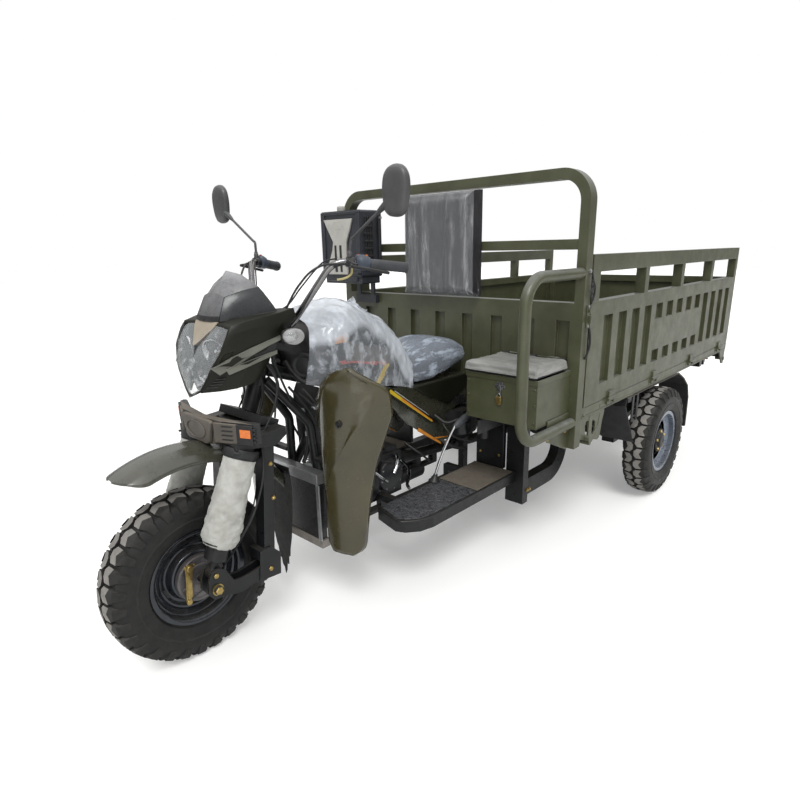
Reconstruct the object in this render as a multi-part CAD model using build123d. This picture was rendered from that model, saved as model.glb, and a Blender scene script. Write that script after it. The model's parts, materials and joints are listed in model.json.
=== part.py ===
from build123d import *
import math
import os

# Cargo tricycle. Millimetres, +Z up, the front faces -Y and +X is the rider's left.
# While modelling, y is measured back from the front axle. The parts are moved at the end
# so that the origin is on the floor under the middle of the vehicle.

# ---- wheels ----
tyre_r = 288.0
tyre_half_w = 68.0
tread_half_w = 58.0
bead_r = 152.0
flange_r = 164.0
rim_half_w = 52.0
axle_r = 8.5
axle_gap = 0.3
wheelbase = 2320.0
rear_track = 1324.0
rear_spindle_r = 20.0

# ---- steering ----
rake = 22.0
head_y = 380.0
head_z = 1050.0
head_low = -290.0
head_high = -65.0
stem_r = 15.0
stem_gap = 0.05
head_tube_r = 27.0
yoke_gap = 1.0
leg_x = 136.0
leg_w = 48.0
leg_d = 40.0
leg_top_y = 232.0
leg_top_z = 700.0
link_pivot_y = 195.0
link_pivot_z = 275.0
link_h = 58.0
link_t = 10.0
link_gap = 36.0
shock_x = 136.0
shock_eye_z = 336.0
shock_top_y = 152.0
shock_top_z = 712.0
gaiter_r = 49.0
gaiter_low = 96.0
gaiter_high = 372.0

# ---- handlebar ----
bar_r = 11.0
grip_r = 16.5
grip_end = (362.0, 686.0, 1242.0)
bar_bend = (233.0, 482.0, 1270.0)
riser_low = (62.0, 392.0, 1062.0)
grip_len = 125.0
cable_r = 3.5

# ---- fairing ----
fender_r = 440.0
fender_half_w = 86.8
fender_t = 4.0
fender_drop = 42.0
flap_low_z = 110.0
fender_front_deg = 119.0
fender_rear_deg = 34.0

# ---- bed ----
bed_half_w = 672.5
bed_front = 1391.0
bed_rear = 3490.0
floor_z = 660.0
floor_t = 4.0
beam_low = 617.0
beam_w = 40.0
gate_front = 1404.0
gate_gap = 2.5
gate_t = 45.0
gate_panel_top = 1088.0
gate_rail_top = 1267.0
gate_rail_h = 66.0
recess_first = 1533.0
recess_pitch = 146.5
recess_w = 86.0
recess_low = 740.0
recess_high = 1026.0
recess_depth = 20.0
recess_count = 13
blank_low = 800.0
blank_high = 952.0
hinge_out = 9.0
hinge_r = 8.0
hinge_z = 655.0
hinge_len = 26.0
tail_gap = 6.0

# ---- headboard ----
head_front = 1341.0
post_d = 50.0
post_w = 40.0
post_low = 500.0
hoop_top = 1578.0
hoop_bend = 122.0
mid_rail_low = 1286.0
mid_rail_high = 1324.0
board_recess_pitch = 155.0
board_recess_w = 58.0

# ---- chassis ----
rail_x = 425.0
rail_w = 50.0
rail_low = 535.0
rail_top = 613.0
cross_low = 577.0
loop_x0 = 350.0
loop_x1 = 400.0
loop_low = 180.0
loop_h = 80.0
loop_rear = 1835.0
loop_bend = 170.0
post_x0 = 362.0
post_x1 = 452.0

# ---- rider's place ----
foot_top = 335.0
foot_skirt = 46.0
foot_out = 410.0
foot_front = 640.0
foot_rear = 1329.0
box_x0 = 314.0
box_x1 = 635.0
box_front = 1090.0
box_low = 637.0
box_top = 826.0
box_wall = 3.0
lid_rear = 1325.0
lid_hinge_y = 1331.0
lid_hinge_z = 870.0
lid_t = 40.0
lid_gap = 0.5
guard_r = 21.0
guard_x = 652.0
guard_top = 1200.0
guard_low = 610.0
guard_front = 950.0
guard_bend = 102.0

seat_gap = 0.3

parts = {}


def block(x0, x1, y0, y1, z0, z1):
    """A box from its low and high corners."""
    return Pos((x0 + x1) / 2, (y0 + y1) / 2, (z0 + z1) / 2) * Box(x1 - x0, y1 - y0, z1 - z0)


def rod(start, end, r):
    """A round bar between two points."""
    a = Vector(start)
    b = Vector(end)
    plane = Plane(origin=a, z_dir=b - a)
    return plane * Cylinder(r, (b - a).length, align=(Align.CENTER, Align.CENTER, Align.MIN))


def bent(points, radius, r, wall=0.0):
    """A round tube along straight runs joined by arcs."""
    path = FilletPolyline(*points, radius=radius)
    ring = Plane(origin=path @ 0, z_dir=path % 0) * Circle(r)
    solid = sweep(ring, path=path)
    if wall > 0:
        solid -= sweep(Plane(origin=path @ 0, z_dir=path % 0) * Circle(r - wall), path=path)
    return solid


def side_plate(points, x0, x1):
    """An outline in the YZ plane, thickened from x0 to x1."""
    face = make_face(Polyline(*[(y, z) for y, z in points], close=True))
    return extrude(Plane(origin=(x0, 0, 0), x_dir=(0, 1, 0), z_dir=(1, 0, 0)) * face, x1 - x0)


def plan_plate(points, z0, z1):
    """An outline in the XY plane, thickened from z0 to z1."""
    return extrude(Plane.XY.offset(z0) * make_face(Polyline(*points, close=True)), z1 - z0)


def front_plate(points, y0, y1):
    """An outline in the XZ plane, thickened from y0 to y1."""
    face = make_face(Polyline(*points, close=True))
    return extrude(Plane(origin=(0, y0, 0), x_dir=(1, 0, 0), z_dir=(0, -1, 0)) * face, -(y1 - y0))


def turned(profile, y, z, side=1):
    """A profile of (x, radius) points turned about the wheel axis at y, z."""
    face = Plane.XY * make_face(Polyline(*profile, close=True))
    solid = revolve(face, axis=Axis.X)
    if side < 0:
        solid = mirror(solid, about=Plane.YZ)
    return Pos(0, y, z) * solid


def mirrored(shape):
    return mirror(shape, about=Plane.YZ)


def both(shape):
    return shape + mirrored(shape)


def hull(points, faces):
    """A closed solid from corner points and the corner numbers of each flat face."""
    shell = Shell([Face(Wire.make_polygon([points[i] for i in f], close=True)) for f in faces])
    return Solid(shell)


def on_stem(s, y_off=0.0):
    """The point of the steering axis at s along it, moved y_off square to it."""
    t = math.radians(rake)
    y = head_y + s * math.sin(t) + y_off * math.cos(t)
    return (0.0, y, head_z + s * math.cos(t) - y_off * math.sin(t))


def stem_plane(s):
    t = math.radians(rake)
    return Plane(origin=on_stem(s), x_dir=(1, 0, 0), z_dir=(0, math.sin(t), math.cos(t)))


# ---------------------------------------------------------------- wheels
def tyre(y, side_x=0.0):
    profile = [
        (-rim_half_w + 4.3, bead_r + 0.3),
        (-rim_half_w + 4.3, flange_r + 0.5),
        (-rim_half_w - 6, flange_r + 6),
        (-tyre_half_w, 205),
        (-tyre_half_w, 232),
        (-tread_half_w - 3, 268),
        (-tread_half_w + 6, 280),
        (-22, tyre_r),
        (22, tyre_r),
        (tread_half_w - 6, 280),
        (tread_half_w + 3, 268),
        (tyre_half_w, 232),
        (tyre_half_w, 205),
        (rim_half_w + 6, flange_r + 6),
        (rim_half_w - 4.3, flange_r + 0.5),
        (rim_half_w - 4.3, bead_r + 0.3),
    ]
    return Pos(side_x, 0, 0) * turned(profile, y, tyre_r)


def rim_profile(dish, hub_r, hub_in, hub_out, web=5.0):
    """Rim, dished disc and hub in one outline. dish is the x of the disc, outwards."""
    wall = 4.0
    seat = bead_r - 0.3
    return [
        (-rim_half_w, flange_r),
        (-rim_half_w + wall, flange_r),
        (-rim_half_w + wall, seat),
        (rim_half_w - wall, seat),
        (rim_half_w - wall, flange_r),
        (rim_half_w, flange_r),
        (rim_half_w, seat - wall),
        (dish + web + 14, seat - wall),
        (dish + web, 120),
        (dish + web, hub_r),
        (hub_out, hub_r),
        (hub_out, axle_r + axle_gap),
        (hub_in, axle_r + axle_gap),
        (hub_in, hub_r),
        (dish, hub_r),
        (dish, 122),
        (dish + 12, seat - wall),
        (-rim_half_w, seat - wall),
    ]


def make_wheels():
    parts["front_tyre"] = tyre(0.0)
    # The front drum is open on the left, where the brake plate closes it.
    front = turned(rim_profile(-14.0, 84.0, -44.0, 34.0), 0.0, tyre_r)
    drum_room = rod((6, 0, tyre_r), (40, 0, tyre_r), 76.0)
    hub_core = rod((6, 0, tyre_r), (34, 0, tyre_r), 26.0)
    hub_bore = rod((5, 0, tyre_r), (36, 0, tyre_r), axle_r + axle_gap)
    parts["front_rim"] = front - drum_room + (hub_core - hub_bore)
    half = rear_track / 2
    for side, name in ((1, "left"), (-1, "right")):
        parts["rear_tyre_" + name] = tyre(wheelbase, side * half)
        rim = turned(rim_profile(6.0, 62.0, -36.0, 30.0), wheelbase, tyre_r, side)
        cap = rod((side * 30, wheelbase, tyre_r), (side * 44, wheelbase, tyre_r), 34.0)
        bore = rod((side * -40, wheelbase, tyre_r), (side * 32, wheelbase, tyre_r), rear_spindle_r + axle_gap)
        parts["rear_rim_" + name] = Pos(side * half, 0, 0) * (rim + cap - bore)


# ---------------------------------------------------------------- front end
def make_fork():
    stem = stem_plane(head_low - 40) * Cylinder(
        stem_r, head_high - head_low + 75, align=(Align.CENTER, Align.CENTER, Align.MIN))
    low_yoke = stem_plane(head_low - yoke_gap - 14) * Box(2 * leg_x - 20, 70, 28)
    high_yoke = stem_plane(head_high + yoke_gap + 9) * Box(190, 62, 18)
    riser = rod((riser_low[0], 376, 1000), (riser_low[0], riser_low[1], riser_low[2]), 15)
    riser += block(riser_low[0] - 16, riser_low[0] + 16, riser_low[1] - 19, riser_low[1] + 19,
                   riser_low[2] - 18, riser_low[2] + 18)
    riser -= rod((riser_low[0] - 30, riser_low[1], riser_low[2]), (riser_low[0] + 30, riser_low[1], riser_low[2]),
                 bar_r + 0.2)
    riser = both(riser)
    lean = (leg_top_y - link_pivot_y) / (leg_top_z - link_pivot_z)
    low_z = link_pivot_z - 32
    low_y = link_pivot_y + lean * (low_z - link_pivot_z)
    top_z = leg_top_z + 42
    top_y = leg_top_y + lean * 42
    half = leg_d / 2
    outline = [(low_y - half, low_z), (low_y + half, low_z), (top_y + half, top_z), (top_y - half, top_z)]
    leg = side_plate(outline, leg_x - leg_w / 2, leg_x + leg_w / 2)
    room = block(leg_x - link_gap / 2 - link_t - 0.5, leg_x + link_gap / 2 + link_t + 0.5,
                 100, 260, low_z - 5, link_pivot_z + link_h / 2 + 14)
    foot = side_plate([(150, 247), (232, 240), (238, 318), (206, 352), (160, 352)],
                      leg_x - leg_w / 2 - 8, leg_x + leg_w / 2 + 8)
    crown = side_plate([(shock_top_y - 46, shock_top_z + 8), (250, shock_top_z - 10), (292, shock_top_z + 16),
                        (292, shock_top_z + 44), (shock_top_y - 46, shock_top_z + 30)],
                       leg_x - 44, leg_x + 40)
    pin = rod((leg_x - leg_w / 2 - 8, link_pivot_y, link_pivot_z),
              (leg_x + leg_w / 2 + 8, link_pivot_y, link_pivot_z), 7.0)
    side = leg + foot + crown - room + pin
    bridge = side_plate([(212, shock_top_z + 24), (292, shock_top_z + 16), (292, shock_top_z + 44),
                         (212, shock_top_z + 44)], -leg_x, leg_x)
    bracket = block(60, 84, 196 + seat_gap, 345, 988, 1004)
    parts["fork"] = both(side + bracket) + bridge + low_yoke + stem + high_yoke + riser


def link_outline():
    py = link_pivot_y
    pz = link_pivot_z
    return [(py + 24, pz - 16), (py + 24, pz + 16), (py + 8, pz + 26), (py - 30, pz + 22), (96, pz + 12),
            (60, pz + 16), (34, shock_eye_z + 6), (12, shock_eye_z + 20), (-14, shock_eye_z + 14),
            (-26, shock_eye_z - 12), (-30, tyre_r - 6), (-14, tyre_r - 30), (20, tyre_r - 34), (80, pz - 36),
            (120, pz - 28), (py - 8, pz - 26)]


def make_swing_arms():
    plate = side_plate(link_outline(), leg_x - link_gap / 2 - link_t, leg_x + link_gap / 2 + link_t)
    slot_a = block(leg_x - link_gap / 2, leg_x + link_gap / 2, -60, 70, 240, 400)
    slot_b = block(leg_x - link_gap / 2, leg_x + link_gap / 2, 60, 260, 262, 400)
    pivot_bore = rod((leg_x - 60, link_pivot_y, link_pivot_z), (leg_x + 60, link_pivot_y, link_pivot_z), 7.1)
    arm = plate - slot_a - slot_b - pivot_bore
    eye_pin = rod((leg_x - 27, 0, shock_eye_z), (leg_x + 27, 0, shock_eye_z), 6.0)
    axle = rod((-leg_x - 32, 0, tyre_r), (leg_x + 32, 0, tyre_r), axle_r)
    nut = rod((leg_x + link_gap / 2 + link_t, 0, tyre_r), (leg_x + link_gap / 2 + link_t + 12, 0, tyre_r), 15.0)
    spacer = rod((58, 0, tyre_r), (leg_x - link_gap / 2 - link_t, 0, tyre_r), 14.0)
    right_spacer = rod((-leg_x + link_gap / 2 + link_t, 0, tyre_r), (-48, 0, tyre_r), 14.0)
    drum_plate = rod((42, 0, tyre_r), (58, 0, tyre_r), 80.0)
    drum_step = rod((35.5, 0, tyre_r), (42, 0, tyre_r), 72.0)
    arm_lever = side_plate([(-62, 232), (-48, 230), (-34, 352), (-50, 356)], 66, 71)
    lever_boss = rod((50, -44, 340), (71, -44, 340), 9.0)
    parts["swing_arms"] = (both(arm + eye_pin + nut) + axle + spacer + right_spacer
                           + drum_plate + drum_step + arm_lever + lever_boss)


def make_shocks():
    low = Vector(shock_x, 0, shock_eye_z)
    top = Vector(shock_x, shock_top_y, shock_top_z)
    along = (top - low).normalized()
    length = (top - low).length
    eye = rod((shock_x - 15, 0, shock_eye_z), (shock_x + 15, 0, shock_eye_z), 17.0)
    bore = rod((shock_x - 20, 0, shock_eye_z), (shock_x + 20, 0, shock_eye_z), 6.1)
    neck = rod(low + along * 12, low + along * 60, 13.0)
    cup = rod(low + along * 46, low + along * gaiter_low, 36.0)
    sleeve = rod(low + along * gaiter_low, low + along * gaiter_high, gaiter_r)
    clamp = rod(low + along * gaiter_high, low + along * (length - 14), 53.0)
    shock = eye + neck + cup + sleeve + clamp - bore
    cap = rod(low + along * (length - 16), low + along * (length + 6), 40.0)
    crown_room = parts["fork"]
    shock = shock + cap - crown_room
    parts["shock_left"] = shock.solids().sort_by(SortBy.VOLUME)[-1]
    parts["shock_right"] = mirrored(parts["shock_left"])


def make_fender():
    # A crowned band about the wheel, pointed in front, with a rubber flap behind.
    inner = fender_r - fender_t
    band = [(-fender_half_w, inner - fender_drop), (-fender_half_w * 0.55, inner - 8), (0, inner),
            (fender_half_w * 0.55, inner - 8), (fender_half_w, inner - fender_drop),
            (fender_half_w, fender_r - fender_drop), (fender_half_w * 0.55, fender_r - 8), (0, fender_r),
            (-fender_half_w * 0.55, fender_r - 8), (-fender_half_w, fender_r - fender_drop)]
    face = Plane.XY * make_face(Polyline(*band, close=True))
    arc = revolve(face, axis=Axis.X, revolution_arc=fender_front_deg - fender_rear_deg)
    arc = Pos(0, 0, tyre_r) * (Rot(fender_rear_deg, 0, 0) * arc)
    point = plan_plate([(-120, -140), (-120, -20), (120, -20), (120, -140), (88, -150), (70, -178), (45, -196),
                        (20, -204), (0, -206), (-20, -204), (-45, -196), (-70, -178), (-88, -150)], 560, 760)
    rear_room = block(-120, 120, -20, 420, 400, 800)
    arc = arc & (point + rear_room)
    flap_y = fender_r * math.cos(math.radians(fender_rear_deg))
    flap = front_plate([(-70, 562), (70, 562), (78, 480), (52, 280), (0, flap_low_z), (-52, 280), (-78, 480)],
                       flap_y - 2, flap_y + 2)
    stay = block(-30, 30, 200, 236, 655, shock_top_z + 24)
    parts["front_fender"] = arc + flap + stay - parts["fork"]
    parts["front_fender"] = parts["front_fender"].solids().sort_by(SortBy.VOLUME)[-1]


def fairing_body():
    # Five cross sections, nose to rear: (y, half widths and heights from the top round to the chin).
    stations = [
        (84, [(0, 1000), (70, 990), (96, 950), (60, 890), (0, 868)]),
        (130, [(0, 1080), (110, 1070), (128, 985), (110, 894), (0, 880)]),
        (200, [(0, 1106), (140, 1100), (156, 1000), (146, 902), (0, 886)]),
        (232, [(0, 1108), (152, 1106), (162, 1010), (152, 914), (0, 890)]),
        (300, [(0, 1112), (176, 1120), (180, 1040), (160, 1006), (0, 1000)]),
    ]
    sections = []
    for y, pts in stations:
        ring = pts + [(-x, z) for x, z in reversed(pts[1:-1])]
        sections.append(Plane(origin=(0, y, 0), x_dir=(1, 0, 0), z_dir=(0, -1, 0))
                        * make_face(Polyline(*ring, close=True)))
    return loft(sections, ruled=True)


def make_fairing():
    body = fairing_body()
    horns = both(side_plate([(300, 1060), (300, 1120), (372, 1132), (366, 1090), (330, 1040)], 150, 178))
    room = block(-138, 138, 196, 420, 850, 1096)
    room += block(-100, 100, 230, 420, 1090, 1140)
    lamp_room = block(-140, 140, 60, 128, 925, 1090)
    shell = body + horns - room - lamp_room
    parts["headlamp_fairing"] = shell.solids().sort_by(SortBy.VOLUME)[-1]
    # The lamp unit fills the recess in the nose.
    lamp = (body & block(-140, 140, 60, 127.5, 926, 1089.5))
    parts["headlamp_unit"] = lamp.solids().sort_by(SortBy.VOLUME)[-1]


def make_screen():
    peak = (0, 240, 1244)
    right = [(50, 262, 1232), (90, 290, 1195), (142, 322, 1112), (67, 154, 1092), (58, 187, 1168), (68, 235, 1205)]
    left = [(-x, y, z) for x, y, z in right]
    middle = [(0, 146, 1092), (0, 184, 1180)]
    half = [(3, 2, 4), (4, 2, 1), (4, 1, 5), (5, 1, 0), (5, 0, 12), (14, 4, 5), (14, 5, 12), (13, 3, 4), (13, 4, 14)]
    swap = {k: k + 6 for k in range(6)}
    other = [tuple(swap.get(k, k) for k in reversed(f)) for f in half]
    back = [(12, 0, 6), (0, 1, 7, 6), (1, 2, 8, 7), (2, 3, 9, 8), (3, 13, 9)]
    outer = hull(right + left + [peak] + middle, half + other + back)
    inner = Pos(0, 14, -6) * outer
    screen = outer - inner - Pos(0, 0, seat_gap) * fairing_body()
    parts["fly_screen"] = screen.solids().sort_by(SortBy.VOLUME)[-1]


def make_fork_cover():
    strip = [(0, 84), (120, 96), (226, 142), (236, 160), (222, 166), (112, 122), (0, 110)]
    plan = strip + [(-x, y) for x, y in reversed(strip[1:-1])]
    slab = plan_plate(plan, 700, 812)
    front = [(0, 722), (64, 724), (108, 742), (236, 744), (236, 806), (96, 808), (0, 806)]
    face = front + [(-x, z) for x, z in reversed(front[1:-1])]
    cover = slab & front_plate(face, 60, 200)
    tabs = both(block(96, 112, 112, 212, 750, 762))
    parts["fork_cover"] = (cover + tabs - parts["fork"]).solids().sort_by(SortBy.VOLUME)[-1]


def make_handlebar():
    def side(p, s):
        return (s * p[0], p[1], p[2])
    pts = [side(grip_end, 1), side(bar_bend, 1), (riser_low[0] + 44, riser_low[1], riser_low[2]),
           (-riser_low[0] - 44, riser_low[1], riser_low[2]), side(bar_bend, -1), side(grip_end, -1)]
    bar = bent(pts, [75, 40, 40, 75], bar_r)
    a = Vector(grip_end)
    along = (Vector(bar_bend) - a).normalized()
    grip = rod(a, a + along * grip_len, grip_r)
    switch = rod(a + along * (grip_len + 2), a + along * (grip_len + 46), 21.0)
    perch = rod(a + along * (grip_len + 52), a + along * (grip_len + 78), 15.0)
    lever_start = a + along * (grip_len + 65) + Vector(0, 0, -4)
    lever = rod(lever_start, lever_start + Vector(52, -38, -8), 5.0)
    lever += rod(lever_start + Vector(52, -38, -8), Vector(352, 610, 1228), 5.0)
    parts["handlebar"] = bar + both(grip + switch + perch + lever)


def make_mirrors():
    a = Vector(grip_end)
    along = (Vector(bar_bend) - a).normalized()
    base = a + along * (grip_len + 65) + Vector(0, 0, 16.2)
    knee = base + Vector(6, 4, 52)
    neck = Vector(436, 520, 1428)
    stem = rod(base, knee, 4.5) + rod(knee, neck, 4.5) + Pos(*knee) * Sphere(4.5)
    nut = rod(base + Vector(0, 0, 0.5), base + Vector(0, 0, 13), 8.0)
    parts["mirror_left"] = stem + nut + mirror_head(0)
    parts["mirror_right"] = mirrored(stem + nut + mirror_head(20))


def mirror_head(lift):
    outline = [(430, 1402), (456, 1390), (488, 1392), (514, 1416), (521, 1452), (519, 1494), (504, 1522),
               (474, 1532), (444, 1522), (426, 1494), (421, 1448)]
    head = Pos(0, 0, lift) * front_plate(outline, 510, 534)
    return fillet(head.edges().filter_by(Axis.Y), 12)


def make_signals():
    pod = rod((168, 330, 1060), (200, 322, 1048), 15)
    oval = extrude(Plane(origin=(194, 320, 1048), x_dir=(0, 1, 0), z_dir=(1, 0, 0)) * Ellipse(34, 25), 42)
    lens = fillet(oval.edges(), 9)
    parts["signal_left"] = (pod + lens) - parts["headlamp_fairing"]
    parts["signal_left"] = parts["signal_left"].solids().sort_by(SortBy.VOLUME)[-1]
    parts["signal_right"] = mirrored(parts["signal_left"])


def make_cables():
    # The clutch cable on the left and the throttle cable on the right, from the perch to the head of the fork.
    a = Vector(grip_end)
    along = (Vector(bar_bend) - a).normalized()
    start = a + along * (grip_len + 78 + seat_gap) + Vector(10.5, -5.5, -7.5)
    route = [start, (249, 476, 1260), (217, 448, 1258), (189, 414, 1234), (162, 378, 1182), (140, 354, 1124),
             (120, 342, 1072), (99, 336, 1032), (80, 334, 1004 + cable_r + seat_gap)]
    route = [Vector(p) for p in route]
    radii = []
    for p, q, r in zip(route, route[1:], route[2:]):
        turn = (q - p).get_angle(r - q)
        radii.append(0.42 * min((q - p).length, (r - q).length) / math.tan(math.radians(turn / 2)))
    cable = bent(route, radii, cable_r)
    length = FilletPolyline(*route, radius=radii).length
    print("cable radii", [round(v) for v in radii], "length", round(length), "volume over section",
          round(cable.volume / (math.pi * cable_r ** 2 * length), 3))
    parts["cable_left"] = cable
    parts["cable_right"] = mirrored(cable)


# ---------------------------------------------------------------- frame and engine
def make_main_frame():
    head = stem_plane(head_low) * Cylinder(head_tube_r, head_high - head_low,
                                           align=(Align.CENTER, Align.CENTER, Align.MIN))
    head_bore = stem_plane(head_low - 10) * Cylinder(stem_r + stem_gap, head_high - head_low + 20,
                                                     align=(Align.CENTER, Align.CENTER, Align.MIN))
    back = bent([(0, 352, 912), (0, 560, 838), (0, 900, 716), (0, 1378, 690)], [120, 200], 22)
    down = both(bent([(20, 336, 880), (62, 478, 700), (96, 500, 268), (96, 1000, 262), (96, 1378, 262)],
                     [60, 70, 200], 16))
    rise = both(block(80, 112, 1346, 1378, 262, 613))
    seat_rail = both(rod((60, 900, 735), (60, 1346, 735), 12))
    cross_top = rod((-72, 900, 735), (72, 900, 735), 12)
    cross_seat = block(-112, 112, 1346, 1378, 690, 747)
    bars = both(block(96, foot_out - 12, 780, 812, 300, 326) + block(96, foot_out - 12, 1226, 1258, 300, 326))
    stub = both(block(84, 112, 780, 812, 262, 326) + block(84, 112, 1226, 1258, 262, 326))
    up = both(block(84, 112, 1346, 1378, 600, 747))
    frame = head + back + down + rise + seat_rail + cross_top + cross_seat + bars + stub + up - head_bore
    cradle = block(-96, 96, 620, 652, 250, 276) + block(-96, 96, 980, 1012, 250, 276)
    parts["main_frame"] = (frame + cradle).solids().sort_by(SortBy.VOLUME)[-1]


def make_engine():
    crank = block(-76, 76, 560, 960, 278.5, 500)
    cylinder = block(-62, 62, 540, 690, 500, 660)
    parts["engine"] = crank + cylinder


def make_exhaust():
    pipe = bent([(-30, 539, 640), (-30, 520, 600), (-150, 520, 420), (-170, 640, 226), (-170, 1020, 214)],
                [18, 60, 80], 17)
    box = rod((-170, 1010, 214), (-170, 1330, 214), 48)
    hanger = block(-178, -162, 1180, 1210, 256, 299.5)
    parts["exhaust"] = pipe + box + hanger - parts["main_frame"] - parts["engine"]
    parts["exhaust"] = parts["exhaust"].solids().sort_by(SortBy.VOLUME)[-1]


def make_radiator():
    core = block(-157, 157, 424, 452, 282, 500)
    top_tank = block(-157, 157, 418, 458, 500, 540)
    low_tank = block(-166, 166, 420, 456, 252, 282)
    tab = both(block(50, 96, 452, 487, 470, 486))
    parts["radiator"] = (core + top_tank + low_tank + tab - parts["main_frame"])
    parts["radiator"] = parts["radiator"].solids().sort_by(SortBy.VOLUME)[-1]


def make_tank():
    outline = [(462, 880), (462, 1010), (520, 1072), (620, 1088), (760, 1052), (900, 950), (925, 800),
               (840, 775), (660, 822), (520, 838), (478, 850)]
    tank = side_plate(outline, -150, 150)
    tank = fillet(tank.edges().filter_by(Axis.X), 24)
    tunnel = bent([(0, 352, 912), (0, 560, 838), (0, 900, 716), (0, 1378, 690)], [120, 200], 22.5)
    tunnel += block(-22.5, 22.5, 460, 930, 700, 840)
    parts["fuel_tank"] = (tank - tunnel).solids().sort_by(SortBy.VOLUME)[-1]


def make_saddle():
    outline = [(934, 800), (952, 866), (1010, 896), (1180, 928), (1296, 912), (1330, 860), (1322, 754.8),
               (960, 754.8)]
    pad = side_plate(outline, -150, 150)
    parts["saddle"] = fillet(pad.edges(), 18) - parts["fuel_tank"]
    parts["saddle"] = parts["saddle"].solids().sort_by(SortBy.VOLUME)[-1]


def make_body_cover():
    cheek = side_plate([(776, 796), (836, 774.5), (925, 762), (1322, 762), (1337, 738), (1337, 640), (1160, 588),
                        (1212, 500), (1140, 462), (1050, 522), (930, 600), (790, 738)], 126, 140)
    deck = block(-128, 128, 940, 1330, 747 + seat_gap, 754.5)
    parts["body_cover"] = both(cheek) + deck - parts["fuel_tank"] - parts["saddle"]
    parts["body_cover"] = parts["body_cover"].solids().sort_by(SortBy.VOLUME)[-1]


def make_leg_shields():
    plan = [(112, 468), (152, 454), (196, 428), (262, 430), (330, 456), (362, 496), (386, 552), (380, 555),
            (356, 500), (327, 463), (262, 437), (198, 435), (156, 461), (114, 475)]
    face = [(246, 920), (306, 936), (352, 902), (384, 862), (388, 770), (362, 610), (344, 470), (336, 290),
            (308, 262), (216, 262), (172, 320), (156, 560), (150, 700), (112, 745), (114, 812), (150, 828),
            (178, 868)]
    shield = plan_plate(plan, 200, 1000) & front_plate(face, 380, 700)
    stay = block(72, 230, 484, 500, 560, 576) + block(222, 230, 433, 500, 560, 576)
    low = block(96, 230, 500, 516, 300, 316) + block(222, 230, 433, 516, 300, 316)
    left = (shield + stay + low - parts["main_frame"]).solids().sort_by(SortBy.VOLUME)[-1]
    parts["leg_shield_left"] = left
    parts["leg_shield_right"] = mirrored(left)


def make_footboards():
    outline = [(190, foot_rear), (foot_out, foot_rear), (foot_out, 760), (396, 700), (360, 656), (325, foot_front),
               (205, 670)]
    plate = plan_plate(outline, foot_top - foot_skirt, foot_top)
    inside = [(180, foot_rear + 5), (foot_out - 5, foot_rear + 5), (foot_out - 5, 762), (391, 704), (357, 661),
              (323, foot_front + 5), (180, 680)]
    board = plate - plan_plate(inside, 0, foot_top - 9)
    parts["footboard_left"] = board
    parts["footboard_right"] = mirrored(board)


# ---------------------------------------------------------------- bed
def make_bed_chassis():
    rails = both(block(rail_x - rail_w / 2, rail_x + rail_w / 2, 1378, 3440, rail_low, rail_top))
    cross = None
    for y, half in ((1378, 664), (1900, 664), (2440, 490), (2980, 664), (3400, 664)):
        bar = block(-half, half, y, y + 40, cross_low, beam_low)
        cross = bar if cross is None else cross + bar
    ring_y = loop_rear - loop_bend
    ring_z = loop_low + loop_bend
    ring = Pos(loop_x0, ring_y, ring_z) * (Rot(0, 90, 0) * Cylinder(
        loop_bend, loop_x1 - loop_x0, align=(Align.CENTER, Align.CENTER, Align.MIN)))
    ring -= Pos(loop_x0, ring_y, ring_z) * (Rot(0, 90, 0) * Cylinder(
        loop_bend - loop_h, loop_x1 - loop_x0, align=(Align.CENTER, Align.CENTER, Align.MIN)))
    ring &= block(loop_x0, loop_x1, ring_y, loop_rear, loop_low, ring_z)
    bar = block(loop_x0, loop_x1, 1370, ring_y, loop_low, loop_low + loop_h)
    riser = block(loop_x0, loop_x1, loop_rear - loop_h, loop_rear, ring_z, rail_top)
    tie = block(loop_x0, loop_x1 + 5, loop_rear - loop_h, loop_rear, rail_low, rail_top)
    post = block(post_x0, post_x1, 1330, 1334, 250, rail_top) + block(post_x1 - 5, post_x1, 1334, 1372, 190, rail_top)
    post += block(post_x0, post_x1, 1366, 1372, 190, rail_top)
    post += side_plate([(1330, 190), (1366, 190), (1366, 260), (1330, 260)], post_x0, post_x1)
    cap = block(post_x0, post_x1, 1330, 1378, rail_low, rail_top)
    front = block(-600, 600, 1345, 1378, rail_low + 20, rail_top)
    frame = rails + cross + both(ring + bar + riser + tie + post + cap) + front
    parts["bed_chassis"] = (frame - parts["main_frame"]).solids().sort_by(SortBy.VOLUME)[-1]


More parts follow.
